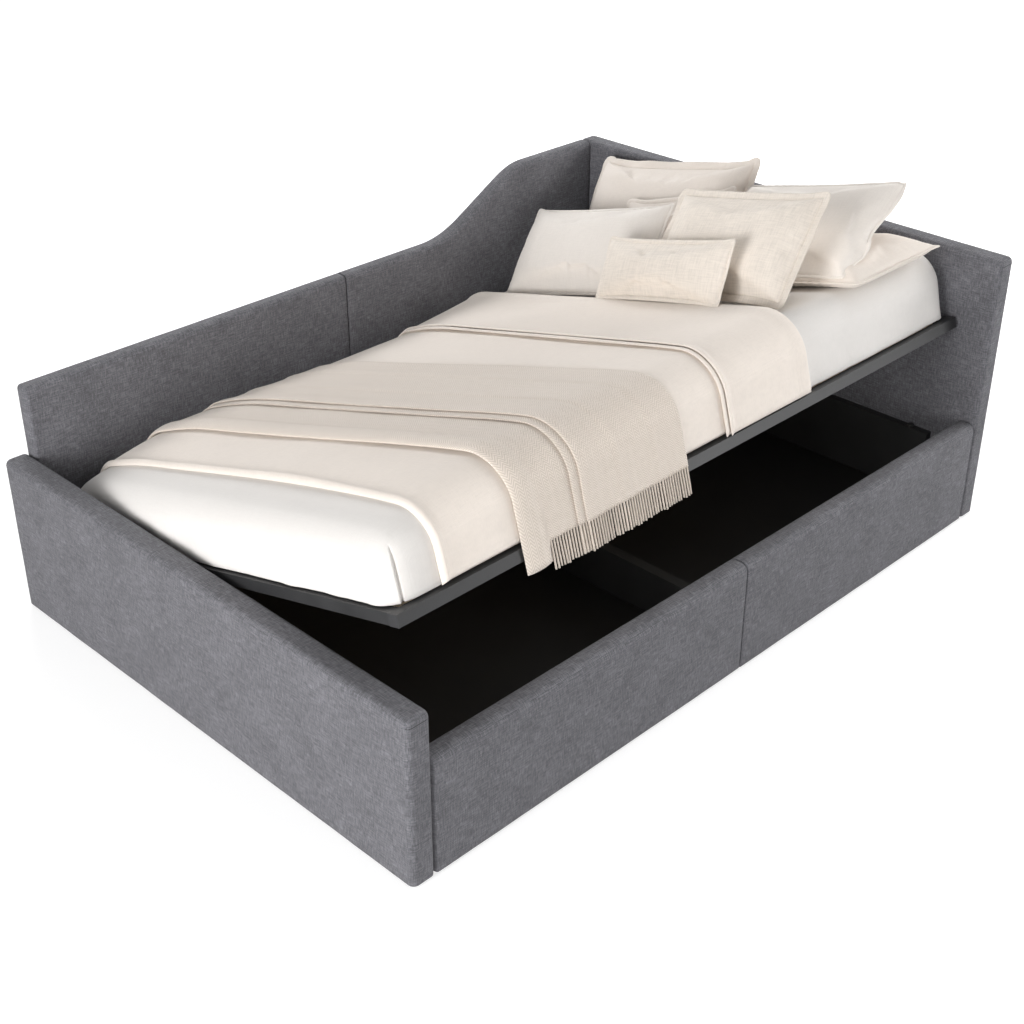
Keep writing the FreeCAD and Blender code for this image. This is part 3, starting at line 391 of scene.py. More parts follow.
panels = dict(
    step=0.016,
    crown=0.0025,       # how far the padding stands out in the middle of an outer face
    flatness=6,         # higher: the crown is flatter, with a steeper fall at its edge
    unevenness=0.0007,  # slight waviness of the stretched cloth
    waveRate=11,
    seedStep=3.1,
    outerFrom=0.6,      # share of the thickness from which a point belongs to the outer face
    pieces=dict(
        footboard=dict(low=(-1.075, -0.745, 0.004), high=(-1.011, 0.745, 0.430), outer=(-1, 0, 0),
                       edge=((0.016, 0.014), (0.016, 0.016), (0.004, 0.016))),
        headboard=dict(low=(1.011, -0.745, 0.004), high=(1.075, 0.745, 0.776), outer=(1, 0, 0),
                       edge=((0.014, 0.016), (0.016, 0.016), (0.004, 0.016))),
        front_rail_foot=dict(low=(-1.0105, -0.745, 0.004), high=(-0.0004, -0.687, 0.304), outer=(0, -1, 0),
                             edge=((0.006, 0.003), (0.022, 0.022), (0.004, 0.022))),
        front_rail_head=dict(low=(0.0004, -0.745, 0.004), high=(1.0105, -0.687, 0.304), outer=(0, -1, 0),
                             edge=((0.003, 0.006), (0.022, 0.022), (0.004, 0.022))),
        back_wall_foot=dict(low=(-1.0105, 0.697, 0.004), high=(-0.0004, 0.745, 0.616), outer=(0, 1, 0),
                            edge=((0.010, 0.003), (0.016, 0.016), (0.004, 0.016))),
        back_wall_head=dict(low=(0.0004, 0.697, 0.004), high=(1.0105, 0.745, 0.616), outer=(0, 1, 0),
                            edge=((0.003, 0.005), (0.016, 0.016), (0.004, 0.016)), rise=True)),
    rise=dict(foot=0.395, top=0.681, height=0.776, footEase=0.078, topEase=0.049))


def riseHeight(x, base):
    rise = panels["rise"]
    slope = (rise["height"] - base) / (rise["top"] - rise["foot"])

    def bend(at, ease):  # nothing before, a straight climb after, a curve between
        eased = (x - at + ease) ** 2 / (4 * ease)
        return np.where(x < at - ease, 0, np.where(x > at + ease, x - at, eased))

    return base + slope * (bend(rise["foot"], rise["footEase"]) - bend(rise["top"], rise["topEase"]))


for number, (name, form) in enumerate(panels["pieces"].items()):
    co, faces = roundedBlock(form["low"], form["high"], form["edge"], panels["step"])
    low, high = np.array(form["low"]), np.array(form["high"])
    share = (co - low) / (high - low)
    bell = 1 - (2 * share - 1) ** panels["flatness"]
    outer = np.array(form["outer"], float)
    across = int(np.argmax(np.abs(outer)))
    onOuter = share[:, across] > panels["outerFrom"]
    if outer[across] < 0:
        onOuter = share[:, across] < 1 - panels["outerFrom"]
    others = [i for i in range(3) if i != across]
    puff = panels["crown"] * bell[:, others[0]] * bell[:, others[1]] * onOuter
    waves = ripple(co, panels["waveRate"], number * panels["seedStep"])
    puff += panels["unevenness"] * waves * onOuter
    co = co + puff[:, None] * outer
    if form.get("rise"):
        extra = riseHeight(co[:, 0], high[2]) - high[2]
        co[:, 2] += extra * np.clip(share[:, 2], 0, 1)
    piece = makePiece(name + "_padding", co, faces, "base", charcoal)
    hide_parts(name + "_cover")
print("panels padded")


def tubeAlong(points, radius, sides=6):
    # a thin round strand through the points, closed at both ends
    verts, faces = [], []
    last = len(points) - 1
    for i, point in enumerate(points):
        run = (Vector(points[min(i + 1, last)]) - Vector(points[max(i - 1, 0)])).normalized()
        side = run.orthogonal().normalized()
        other = run.cross(side)
        for k in range(sides):
            angle = 2 * math.pi * k / sides
            verts.append(Vector(point) + (side * math.cos(angle) + other * math.sin(angle)) * radius)
    for i in range(last):
        for k in range(sides):
            here, there, after = i * sides, (i + 1) * sides, (k + 1) % sides
            faces.append((here + k, here + after, there + after, there + k))
    faces.append(tuple(range(sides))[::-1])
    faces.append(tuple(range(last * sides, (last + 1) * sides)))
    return verts, faces


# cap seams across the ends of the boards, just under their top edge: (low x, high x, top) of each board
capSeams = dict(radius=0.0011, drop=0.017, rounding=0.016, endY=0.7448, steps=16,
                boards=((-1.075, -1.011, 0.430), (1.011, 1.075, 0.776)))
for number, (lowX, highX, top) in enumerate(capSeams["boards"]):
    for side, word in ((-1, "front"), (1, "back")):
        path, edge = [], capSeams["rounding"]
        for i in range(capSeams["steps"] + 1):
            t = i / capSeams["steps"]
            past = max(0.0, abs(2 * t - 1) * (highX - lowX) / 2 - edge)
            inset = edge * (1 - math.sqrt(max(0.0, 1 - past ** 2 / edge ** 2)))
            x = lowX + (highX - lowX) * t
            path.append((x, side * (capSeams["endY"] - inset), top - capSeams["drop"]))
        verts, faces = tubeAlong(path, capSeams["radius"])
        makePiece("capSeam_%d_%s" % (number, word), verts, faces, "base", seamThread)
print("cap seams sewn")

# mattress in its sheet: waves on the hanging sides and a folded corner at the foot's front
mattressLook = dict(step=0.016, edge=0.085, corner=0.068, headCorner=0.040, bottom=0.006, sheetWave=0.0042,
                    wideRate=(9, 9, 2.2), fineRate=(22, 22, 5), fineSlant=(9, 7, 0), fineShare=0.6,
                    waveBias=0.55, seeds=(4.2, 9.1), sideDepth=0.08, sideTop=0.97, sideRate=8, hangTop=1.1)
sheetFold = dict(angle=60, high=0.432, depth=0.008, lap=0.005, width=0.0026, fall=0.03, lapReach=0.045,
                 lapStart=0.003, lines=16, lineGap=0.022, pastX=0.05, pastY=0.12, shareX=0.1, shareY=0.2)


def sheetedMattress():
    look, fold = mattressLook, sheetFold
    low, high = bed["matLow"], bed["matHigh"]
    corner = look["corner"]
    slant = math.tan(math.radians(90 - fold["angle"]))
    steps = range(-fold["lines"], fold["lines"] + 1)
    fine = [low[0] + corner * (1 - slant - fold["lineGap"] * i) for i in steps]
    edges = ((corner, look["headCorner"]), (corner, corner), (look["bottom"], look["edge"]))
    co, faces = roundedBlock(low, high, edges, look["step"], (fine, (), ()))
    low, high = np.array(low), np.array(high)
    share = (co - low) / (high - low)
    outward = co - np.clip(co, low + look["sideDepth"], high - look["sideDepth"])
    outward[:, 2] = 0
    outward /= np.maximum(np.linalg.norm(outward, axis=1, keepdims=True), 1e-6)
    onSide = np.clip((look["sideTop"] - share[:, 2]) * look["sideRate"], 0, 1)
    onSide = onSide * (np.linalg.norm(outward, axis=1) > 0.5)
    hang = np.clip(look["hangTop"] - share[:, 2], 0, 1)
    waves = ripple(co * look["wideRate"], 1.0, look["seeds"][0])
    slanted = co * look["fineRate"] + co[:, 2:] * look["fineSlant"]
    waves += look["fineShare"] * ripple(slanted, 1.0, look["seeds"][1])
    co += outward * (look["sheetWave"] * (waves - look["waveBias"]) * onSide * hang)[:, None]
    # the fold: a lap with a deep crease beside it, measured along the way round the corner
    turnX, turnY = low[0] + corner - co[:, 0], low[1] + corner - co[:, 1]
    nearCorner = (turnX > -fold["pastX"]) & (turnY > -fold["pastY"])
    nearCorner &= (share[:, 0] < fold["shareX"]) & (share[:, 1] < fold["shareY"])
    round90 = corner * np.arctan2(np.maximum(turnY, 1e-9), np.maximum(turnX, 1e-9))
    along = np.where(turnY < 0, turnY, np.where(turnX < 0, corner * math.pi / 2 - turnX, round90))
    away = along - corner * math.radians(fold["angle"])
    fall = np.clip((fold["high"] - co[:, 2]) / fold["fall"], 0, 1) * nearCorner
    dip = fold["depth"] * np.exp(-(away / fold["width"]) ** 2)
    lap = fold["lap"] * np.where(away < 0, np.exp(away / fold["lapReach"]), 0)
    lap = lap * (1 - np.exp(-(away / fold["lapStart"]) ** 2))
    co += outward * ((lap - dip) * fall)[:, None]
    return makePiece("sheetedMattress", settle(co), faces, "platform", sheetCotton, liftMatrix)


mattress = sheetedMattress()
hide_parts("mattress")
print("mattress sheeted")


# duvet and throw follow the mattress's cross-section
def sectionPath(frontHem, backHem):
    # places along the way from the front hem over the top to the back hem: (y, z, outward y, outward z)
    edge = bed["topEdge"]
    front, back, top = bed["matLow"][1], bed["matHigh"][1], bed["matHigh"][2]
    lengths = [top - edge - frontHem, math.pi / 2 * edge, back - front - 2 * edge, math.pi / 2 * edge,
               top - edge - backHem]
    total = sum(lengths)

    def at(s):
        s = min(max(s, 0.0), total)
        if s <= lengths[0]:
            return front, frontHem + s, -1.0, 0.0
        s -= lengths[0]
        if s <= lengths[1]:
            up, out = math.sin(s / edge), math.cos(s / edge)
            return front + edge - edge * out, top - edge + edge * up, -out, up
        s -= lengths[1]
        if s <= lengths[2]:
            return front + edge + s, top, 0.0, 1.0
        s -= lengths[2]
        if s <= lengths[3]:
            out, up = math.sin(s / edge), math.cos(s / edge)
            return back - edge + edge * out, top - edge + edge * up, out, up
        s -= lengths[3]
        return back, top - edge - s, 1.0, 0.0

    return at, lengths, total


def shareAcross(y):
    return (y - bed["matLow"][1]) / (bed["matHigh"][1] - bed["matLow"][1])


# filling of a padded layer: rates of its two sizes of bulge along X and along the way, and its edges
quiltLook = dict(wideRate=(3.1, 2.3), fineRate=(8.3, 4.1), fineShare=0.5, backShare=0.25, hemHeight=0.16,
                 endRate=0.9, least=0.002, beadAt=0.009, beadWidth=0.008, rollAt=0.022, rollWidth=0.022,
                 gapWidth=0.011)


def quilt(name, xLow, xHigh, frontHem, backHem, under, thick, wave, seed, steps, hem, bead, gap, roll=0.0):
    # a padded layer between two edges along X (each a function of the share from front to back)
    look = quiltLook
    at, lengths, total = sectionPath(frontHem, backHem)
    overTop = sum(lengths[:3])
    countU, countV = steps
    verts, faces, layers = [], [], []
    bump = lambda away, width: math.exp(-(away / width) ** 2)
    for filled in (True, False):
        rows = []
        for i in range(countV + 1):
            s = total * i / countV
            y, z, ny, nz = at(s)
            a, b = xLow(shareAcross(y)), xHigh(shareAcross(y))
            row = []
            for j in range(countU + 1):
                x = a + (b - a) * (j / countU)
                fromEdge = min((x - a), (b - x), s * look["endRate"], (total - s) * look["endRate"])
                shape = 1.0 if fromEdge > hem else math.sqrt(max(0.0, 1 - (1 - fromEdge / hem) ** 2))
                wide = noise.noise(Vector((x * look["wideRate"][0] + seed, s * look["wideRate"][1], seed)))
                fine = noise.noise(Vector((x * look["fineRate"][0], s * look["fineRate"][1] + seed, seed)))
                soft = wide + look["fineShare"] * fine
                free = 1.0 if s < overTop else look["backShare"]
                tall = thick * (look["hemHeight"] + (1 - look["hemHeight"]) * shape)
                tall += wave * soft * shape * free
                tall += bead * shape * bump(x - a - look["beadAt"], look["beadWidth"])
                tall += roll * shape * bump(b - x - look["rollAt"], look["rollWidth"])
                standOff = gap * bump(x - a, look["gapWidth"])  # the edge stands off what lies under it
                height = under + standOff + (max(tall, look["least"]) if filled else 0.0)
                row.append(len(verts))
                verts.append((x, y + ny * height, z + nz * height))
            rows.append(row)
        layers.append(rows)
    outer, inner = layers
    for rows, flip in ((outer, False), (inner, True)):
        for i in range(countV):
            for j in range(countU):
                quad = (rows[i][j], rows[i][j + 1], rows[i + 1][j + 1], rows[i + 1][j])
                faces.append(quad[::-1] if flip else quad)
    for i in range(countV):
        faces.append((outer[i][0], outer[i + 1][0], inner[i + 1][0], inner[i][0]))
        faces.append((outer[i + 1][-1], outer[i][-1], inner[i][-1], inner[i + 1][-1]))
    for j in range(countU):
        faces.append((outer[0][j + 1], outer[0][j], inner[0][j], inner[0][j + 1]))
        faces.append((outer[-1][j], outer[-1][j + 1], inner[-1][j + 1], inner[-1][j]))
    return makePiece(name, settle(verts), faces, "platform", duvetCotton, liftMatrix)


duvetLook = dict(foot=-0.870, footWave=0.012, footRate=5, headFront=0.342, headBack=0.458, headIn=0.006,
                 frontHem=0.277, backHem=0.340, under=0.0006, thick=0.0145, wave=0.0045, steps=(150, 140),
                 hem=0.011, bead=0.004, gap=0.006, seed=2.0)
# the turned-back band lies double on the duvet
bandLook = dict(width=0.330, thick=0.0055, wave=0.0022, sink=0.001, steps=(64, 140), bead=0.002, gap=0.0075,
                seed=5.0,
                layers=(dict(start=0.0, lift=0.0, headIn=0.004, hem=0.007, roll=0.0),
                        dict(start=0.012, lift=0.0055, headIn=0.0, hem=0.012, roll=0.006)))


def headEdge(share):
    return duvetLook["headFront"] + (duvetLook["headBack"] - duvetLook["headFront"]) * share


def footEdge(share):
    return duvetLook["foot"] + duvetLook["footWave"] * math.sin(share * duvetLook["footRate"])


duvet = quilt("duvetCover", footEdge, lambda share: headEdge(share) - duvetLook["headIn"],
              frontHem=duvetLook["frontHem"], backHem=duvetLook["backHem"], under=duvetLook["under"],
              thick=duvetLook["thick"], wave=duvetLook["wave"], seed=duvetLook["seed"],
              steps=duvetLook["steps"], hem=duvetLook["hem"], bead=duvetLook["bead"], gap=duvetLook["gap"])
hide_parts("duvet")
for number, layer in enumerate(bandLook["layers"]):
    under = duvetLook["under"] + duvetLook["thick"] + layer["lift"] - bandLook["sink"]
    band = quilt("duvetBand_%d" % number,
                 lambda share: headEdge(share) - bandLook["width"] + layer["start"],
                 lambda share: headEdge(share) - layer["headIn"],
                 frontHem=duvetLook["frontHem"] - bandLook["sink"], backHem=duvetLook["backHem"],
                 under=under, thick=bandLook["thick"], wave=bandLook["wave"], seed=bandLook["seed"] + number,
                 steps=bandLook["steps"], hem=layer["hem"], bead=bandLook["bead"], gap=bandLook["gap"],
                 roll=layer["roll"])
    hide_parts("duvet")
print("duvet laid")

# rollCut: the rolled edge ends here along the section; it hangs lower than the rest of the hem by rollDrop
throwLay = dict(footBack=-0.735, skew=0.075, frontHem=0.256, backHem=0.341, under=0.0172, thick=0.0020,
                layer=0.0042, pressed=0.78, rows=150, columns=260, rollCut=0.160, rollDrop=0.046,
                rollEdge=0.008, looseFrom=0.16, sway=0.004, swayRate=(2.6, 5.0), swaySeed=1.3,
                lift=0.0016, liftRate=(5.0, 9.0), liftSeed=7.7, sink=-0.0008, pointsBetween=8)
# the cloth's section across its width: (place along X, height in layers); it laps over itself at the folds
throwSection = [(0.078, 0.15), (0.034, 0.15), (0.010, 0.30), (0.0005, 0.9), (0.002, 1.7), (0.011, 2.55),
                (0.027, 3.0), (0.044, 2.75), (0.056, 2.0), (0.066, 1.25), (0.084, 0.85), (0.112, 0.5),
                (0.150, 0.4), (0.188, 0.35), (0.204, 0.4), (0.210, 0.7), (0.204, 1.0), (0.186, 1.05),
                (0.170, 1.1), (0.1640, 1.45), (0.169, 1.8), (0.186, 1.85), (0.208, 1.85), (0.216, 2.15),
                (0.210, 2.45), (0.196, 2.5), (0.1865, 2.85), (0.192, 3.25), (0.208, 3.2), (0.226, 2.7),
                (0.252, 1.9), (0.280, 1.7), (0.296, 1.75), (0.302, 2.2), (0.316, 2.3), (0.340, 1.7),
                (0.372, 1.1), (0.410, 0.9), (0.424, 0.95), (0.430, 1.35), (0.444, 1.35), (0.462, 0.85),
                (0.490, 0.55), (0.512, 0.45), (0.530, 0.4)]


def smoothSection(points, count):
    # even spacing along a rounded line through the points
    knots = np.array(points)
    dense = []
    for i in range(len(knots) - 1):
        p0, p1, p2, p3 = knots[max(i - 1, 0)], knots[i], knots[i + 1], knots[min(i + 2, len(knots) - 1)]
        for t in np.linspace(0, 1, throwLay["pointsBetween"], endpoint=False):
            dense.append(0.5 * (2 * p1 + (p2 - p0) * t + (2 * p0 - 5 * p1 + 4 * p2 - p3) * t ** 2
                                + (3 * p1 - p0 - 3 * p2 + p3) * t ** 3))
    dense.append(knots[-1])
    dense = np.array(dense) * (1, throwLay["layer"])
    gaps = np.r_[0, np.cumsum(np.linalg.norm(np.diff(dense, axis=0), axis=1))]
    places = np.linspace(0, gaps[-1], count)
    return np.c_[np.interp(places, gaps, dense[:, 0]), np.interp(places, gaps, dense[:, 1])], places


def drapedThrow():
    lay = throwLay
    section, across = smoothSection(throwSection, lay["columns"])
    at, lengths, total = sectionPath(lay["frontHem"], lay["backHem"])
    (alongSway, overSway), (alongLift, overLift) = lay["swayRate"], lay["liftRate"]
    verts, faces, flat = [], [], []
    for i in range(lay["rows"] + 1):
        s = total * i / lay["rows"]
        y, z, ny, nz = at(s)
        start = lay["footBack"] + lay["skew"] * (1 - shareAcross(y))
        loose = min(1.0, s / lay["looseFrom"])
        squeeze = lay["pressed"] + (1 - lay["pressed"]) * loose
        hanging = max(0.0, 1 - s / lengths[0])
        for (x, height), place in zip(section, across):
            sway = lay["sway"] * noise.noise(Vector((s * alongSway, place * overSway, lay["swaySeed"])))
            lift = lay["lift"] * noise.noise(Vector((s * alongLift, place * overLift, lay["liftSeed"])))
            rolled = min(max((lay["rollCut"] - place) / lay["rollEdge"], 0.0), 1.0)
            rise = lay["under"] + lay["thick"] / 2 + height * squeeze + max(lift, lay["sink"]) * loose
            hem = z - lay["rollDrop"] * rolled * hanging
            verts.append((start + x + sway * loose, y + ny * rise, hem + nz * rise))
            flat.append((place, s))
    count = len(section)
    for i in range(lay["rows"]):
        for j in range(count - 1):
            a = i * count + j
            faces.append((a, a + 1, a + count + 1, a + count))
    verts = settle(verts)
    piece = makePiece("herringboneThrow", verts, faces, "platform", wool, liftMatrix)
    layer = piece.data.uv_layers.new(name="cloth")
    for loop in piece.data.loops:
        layer.data[loop.index].uv = flat[loop.vertex_index]
    solid = piece.modifiers.new("clothThickness", "SOLIDIFY")
    solid.thickness = lay["thick"]
    solid.offset = 0
    return piece, [Vector(verts[j]) for j in range(count)], float(across[-1]), total


throwPiece, throwHem, throwCut, throwLength = drapedThrow()
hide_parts("throw")

fringeLook = dict(pitch=0.0088, length=0.070, lengthSpread=0.03, radius=0.0025, radiusSpread=0.08, sides=7,
                  sway=0.0010, outShare=0.5, tuck=0.004, overlap=0.011, bends=(0, 0.25, 0.5, 0.75, 1.0))


def fringeStrands():
    look = fringeLook
    verts, faces = [], []
    run = np.r_[0, np.cumsum([(throwHem[i + 1] - throwHem[i]).length for i in range(len(throwHem) - 1)])]
    fringeStart = throwLay["rollCut"] + throwLay["rollDrop"] - look["overlap"]
    count = int(run[-1] / look["pitch"])
    for k in range(count):
        place = run[-1] * (k + 0.5) / count
        if place < fringeStart:  # the rolled edge hangs without strands
            continue
        i = int(np.searchsorted(run, place)) - 1
        i = min(max(i, 0), len(throwHem) - 2)
        t = (place - run[i]) / max(run[i + 1] - run[i], 1e-9)
        top = throwHem[i].lerp(throwHem[i + 1], t) + Vector((0, 0, look["tuck"]))
        length = look["length"] * (1 - look["lengthSpread"] + 2 * look["lengthSpread"] * random.random())
        swayX = random.uniform(-1, 1) * look["sway"]
        sway = Vector((swayX, random.uniform(-1, 1) * look["sway"] * look["outShare"], 0))
        path = [top + Vector((0, 0, -length * f)) + sway * f * f for f in look["bends"]]
        radius = look["radius"] * random.uniform(1 - look["radiusSpread"], 1 + look["radiusSpread"])
        made, quads = tubeAlong(path, radius, look["sides"])
        base = len(verts)
        verts += made
        faces += [tuple(base + v for v in face) for face in quads]
    return makePiece("throwFringe", verts, faces, "platform", fringeWool, liftMatrix)


fringe = fringeStrands()
print("throw draped")

# pillows and cushions; seat is the middle of the lower edge: its distance from the headboard, from the
# mattress's middle line and over the mattress's top
pillowForms = dict(
    pillow_back=dict(width=0.665, height=0.356, crown=0.110, seat=(0.258, 0.203, 0.01825), lean=52, roll=-4,
                     flange=0.022, slack=0.035, draw=0.018, plump=1.08, seed=1,
                     finish=pillowCotton, slotName="beige_cotton"),
    pillow_side=dict(width=0.560, height=0.302, crown=0.100, seat=(0.532, 0.252, 0.0004), lean=46,
                     flange=0.004, slack=0.03, draw=0.008, seed=2, finish=paleCotton, slotName="pale_cotton"),
    pillow_flat=dict(width=0.515, height=0.380, crown=0.105, seat=(0.440, -0.425, 0.0200), lean=0,
                     flange=0.005, slack=0.03, draw=0.004, seed=3,
                     finish=pillowCotton, slotName="beige_cotton"),
    pillow_leaning=dict(width=0.560, height=0.372, crown=0.074, seat=(0.424, -0.372, 0.0252), lean=30,
                        roll=-2, flange=0.005, slack=0.05, draw=0.010, pucker=0.016, seed=4,
                        finish=paleCotton, slotName="pale_cotton"),
    cushion_square=dict(width=0.528, height=0.346, crown=0.084, seat=(0.610, -0.322, 0.0132), lean=45,
                        roll=-4, flange=0.018, slack=0.03, draw=0.010, seed=5,
                        finish=linenBeige, slotName="beige_linen"),
    cushion_lumbar=dict(width=0.500, height=0.182, crown=0.070, seat=(0.656, -0.188, 0.0258), lean=58,
                        turn=-7, flange=0.006, slack=0.02, draw=0.005, seed=6,
                        finish=linenBeige, slotName="beige_linen"),
    cushion_hidden=dict(width=0.420, height=0.262, crown=0.050, seat=(0.380, 0.026, 0.0177), lean=52, roll=4,
                        flange=0.010, slack=0.03, draw=0.008, seed=7,
                        finish=pillowCotton, slotName="beige_cotton"))
pillowUsual = dict(turn=0, roll=0, plump=1.2, pucker=0.0)  # where a form gives nothing else
pillowMaking = dict(cell=0.0095, drawnIn=0.015, blankCrown=0.86, pressure=5.0, frames=16, quality=6,
                    mass=0.25, tension=18, shear=8, bending=0.35, cap=0.036, capDepth=0.4, rest=0.0012,
                    seedStep=5.3)
pillowFolds = dict(wrinkle=0.0022, wrinkleRate=(16, 16, 6), evenly=0.25, rimFrom=0.55, gather=0.0030,
                   gatherRate=260, gatherReach=0.035, gatherSway=2.5, patchRate=9, endFrom=0.4,
                   ridgeRate=6.5, ridgeStart=1.6, ridgeSway=1.4, ridgeHeight=0.55, scallop=0.9)
pillowRim = dict(half=0.0012, pipedUpTo=0.006, pipedShare=0.45, tuck=0.009, wave=0.25, waveRate=0.13)


def pillowPlace(form):
    spin = (Matrix.Rotation(math.radians(form["turn"]), 4, "Z")
            @ Matrix.Rotation(math.radians(-form["lean"]), 4, "Y")
            @ Matrix.Rotation(math.radians(form["roll"] - 90), 4, "Z"))
    middle = (bed["matLow"][1] + bed["matHigh"][1]) / 2
    fromHead, fromMiddle, over = form["seat"]
    foot = Vector((bed["headFace"] - fromHead, middle + fromMiddle, bed["matHigh"][2] + over))
    centre = foot + spin.to_3x3() @ Vector((0, form["height"] / 2, 0))
    return Matrix.Translation(centre) @ spin


def pillowBlank(width, height, crown):
    countX = max(12, round(width / pillowMaking["cell"]))
    countY = max(8, round(height / pillowMaking["cell"]))
    draw = pillowMaking["drawnIn"]
    verts, faces, index = [], [], {}
    for side in (1, -1):
        for i in range(countX + 1):
            for j in range(countY + 1):
                a, b = 2 * i / countX - 1, 2 * j / countY - 1
                rim = i in (0, countX) or j in (0, countY)
                if rim and side < 0:
                    index[side, i, j] = index[1, i, j]
                    continue
                x = width / 2 * a * (1 - draw * 0.5 * (1 - b * b))
                y = height / 2 * b * (1 - draw * (1 - a * a))
                z = 0.0 if rim else side * crown / 2 * ((1 - a ** 4) * (1 - b ** 2)) ** 0.5
                index[side, i, j] = len(verts)
                verts.append((x, y, z))
        for i in range(countX):
            for j in range(countY):
                quad = [index[side, i + di, j + dj] for di, dj in ((0, 0), (1, 0), (1, 1), (0, 1))]
                faces.append(quad if side > 0 else quad[::-1])
    loop = [index[1, i, 0] for i in range(countX)]
    loop += [index[1, countX, j] for j in range(countY)]
    loop += [index[1, i, countY] for i in range(countX, 0, -1)]
    loop += [index[1, 0, j] for j in range(countY, 0, -1)]
    return verts, faces, loop


def blowUp(verts, faces, form):
    # cloth with air in it: the sewn edge draws in and puckers
    making = pillowMaking
    mesh = bpy.data.meshes.new("pillowTrial")
    mesh.from_pydata(verts, [], faces)
    trial = bpy.data.objects.new("pillowTrial", mesh)
    scene.collection.objects.link(trial)
    bpy.context.view_layer.objects.active = trial
    cloth = trial.modifiers.new("air", "CLOTH")
    kind = cloth.settings
    kind.quality = making["quality"]
    kind.mass = making["mass"]
    kind.tension_stiffness = making["tension"]
    kind.compression_stiffness = making["tension"]
    kind.shear_stiffness = making["shear"]
    kind.bending_stiffness = making["bending"]
    kind.use_pressure = True
    kind.uniform_pressure_force = making["pressure"]
    kind.shrink_min = -form["slack"]
    kind.effector_weights.gravity = 0
    cloth.point_cache.frame_start = 1
    cloth.point_cache.frame_end = making["frames"]
    for step in range(1, making["frames"] + 1):
        scene.frame_set(step)
    shown = trial.evaluated_get(bpy.context.evaluated_depsgraph_get())
    co = np.zeros(len(verts) * 3)
    shown.data.vertices.foreach_get("co", co)
    scene.frame_set(1)
    bpy.data.objects.remove(trial)
    start = np.array(verts)
    move = co.reshape(-1, 3) - start
    far = np.linalg.norm(move, axis=1)
    depth = 1 - np.max(np.abs(start[:, :2]) / np.abs(start[:, :2]).max(axis=0), axis=1)
    most = form["draw"] + (making["cap"] - form["draw"]) * np.clip(depth / making["capDepth"], 0, 1)
    return start + move * np.minimum(1.0, most / np.maximum(far, 1e-9))[:, None]


def crumple(co, form, seed):
    folds = pillowFolds
    wrinkle = ripple(co * folds["wrinkleRate"], 1.0, seed)
    reachX, reachY = co[:, 0] / (form["width"] / 2), co[:, 1] / (form["height"] / 2)
    rimward = np.clip(np.maximum(np.abs(reachX), np.abs(reachY)) - folds["rimFrom"], 0, 1)
    inner = np.sign(co[:, 2]) * (np.abs(co[:, 2]) > 1e-5)
    co[:, 2] += inner * folds["wrinkle"] * wrinkle * (folds["evenly"] + rimward)
    # small puckers run in from the seam
    fromX, fromY = (1 - np.abs(reachX)) * form["width"], (1 - np.abs(reachY)) * form["height"]
    place = np.where(fromX < fromY, co[:, 1], co[:, 0])
    near = np.minimum(fromX, fromY) / 2
    gather = np.sin(place * folds["gatherRate"] + folds["gatherSway"] * wrinkle)
    gather = gather * np.exp(-(near / folds["gatherReach"]))
    gather = gather * np.clip(0.5 + ripple(co, folds["patchRate"], seed + 3), 0, 1)
    co[:, 2] += inner * folds["gather"] * gather
    # gathered end: scallops along the seam and ridges running in from it
    ends = np.clip((reachX - folds["endFrom"]) / (1 - folds["endFrom"]), 0, 1) ** 2
    ridge = np.sin(reachY * folds["ridgeRate"] + folds["ridgeStart"] + folds["ridgeSway"] * wrinkle)
    co[:, 0] -= form["pucker"] * ends * (folds["scallop"] + folds["scallop"] * ridge)
    co[:, 2] += inner * form["pucker"] * folds["ridgeHeight"] * ends * ridge * (1 - ends * 0.5)


def sewnRim(verts, faces, loop, flange, seed):
    # a flat border, or a narrow piped edge, that follows the drawn-in seam
    look, count = pillowRim, len(loop)
    half = look["half"] if flange > look["pipedUpTo"] else flange * look["pipedShare"]
    rings = ([], [], [], [])
    for k, at in enumerate(loop):
        point, before, after = verts[at], verts[loop[k - 1]], verts[loop[(k + 1) % count]]
        run = (after - before).normalized()
        out = Vector((run.y, -run.x, 0)).normalized()
        sway = noise.noise(Vector((k * look["waveRate"], seed, 2.0)))
        rim = point + out * flange + Vector((0, 0, look["wave"] * flange * sway))
        root = point - out * look["tuck"]
        for ring, spot, lift in zip(rings, (root, rim, rim, root), (half, half, -half, -half)):
            ring.append(len(verts))
            verts.append(spot + Vector((0, 0, lift)))
    for first, second in zip(rings, rings[1:] + rings[:1]):
        for k in range(count):
            after = (k + 1) % count
            faces.append((first[k], second[k], second[after], first[after]))


def makePillow(name, form):
    flange, seed = form["flange"], form["seed"] * pillowMaking["seedStep"]
    verts, faces, loop = pillowBlank(form["width"] - 2 * flange, form["height"] - 2 * flange,
                                     form["crown"] * pillowMaking["blankCrown"])
    co = blowUp(verts, faces, form)
    co[:, 2] *= form["crown"] * form["plump"] / max(np.ptp(co[:, 2]), 1e-6)
    crumple(co, form, seed)
    verts = [Vector(v) for v in co]
    faces = [tuple(face) for face in faces]
    sewnRim(verts, faces, loop, flange, seed)
    place = pillowPlace(form)
    back = place.inverted()
    floorZ = bed["matHigh"][2] + pillowMaking["rest"]  # flat only where it rests
    settled = []
    for vert in verts:
        spot = place @ vert
        spot.z = max(spot.z, floorZ)
        settled.append(back @ spot)
    piece = makePiece(name + "_filled", settled, faces, "platform", form["finish"],
                      liftMatrix @ place)
    finer = piece.modifiers.new("finer", "SUBSURF")
    finer.levels = finer.render_levels = 1
    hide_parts(name)


for name, form in pillowForms.items():
    makePillow(name, dict(pillowUsual, **form))
    print("filled", name)

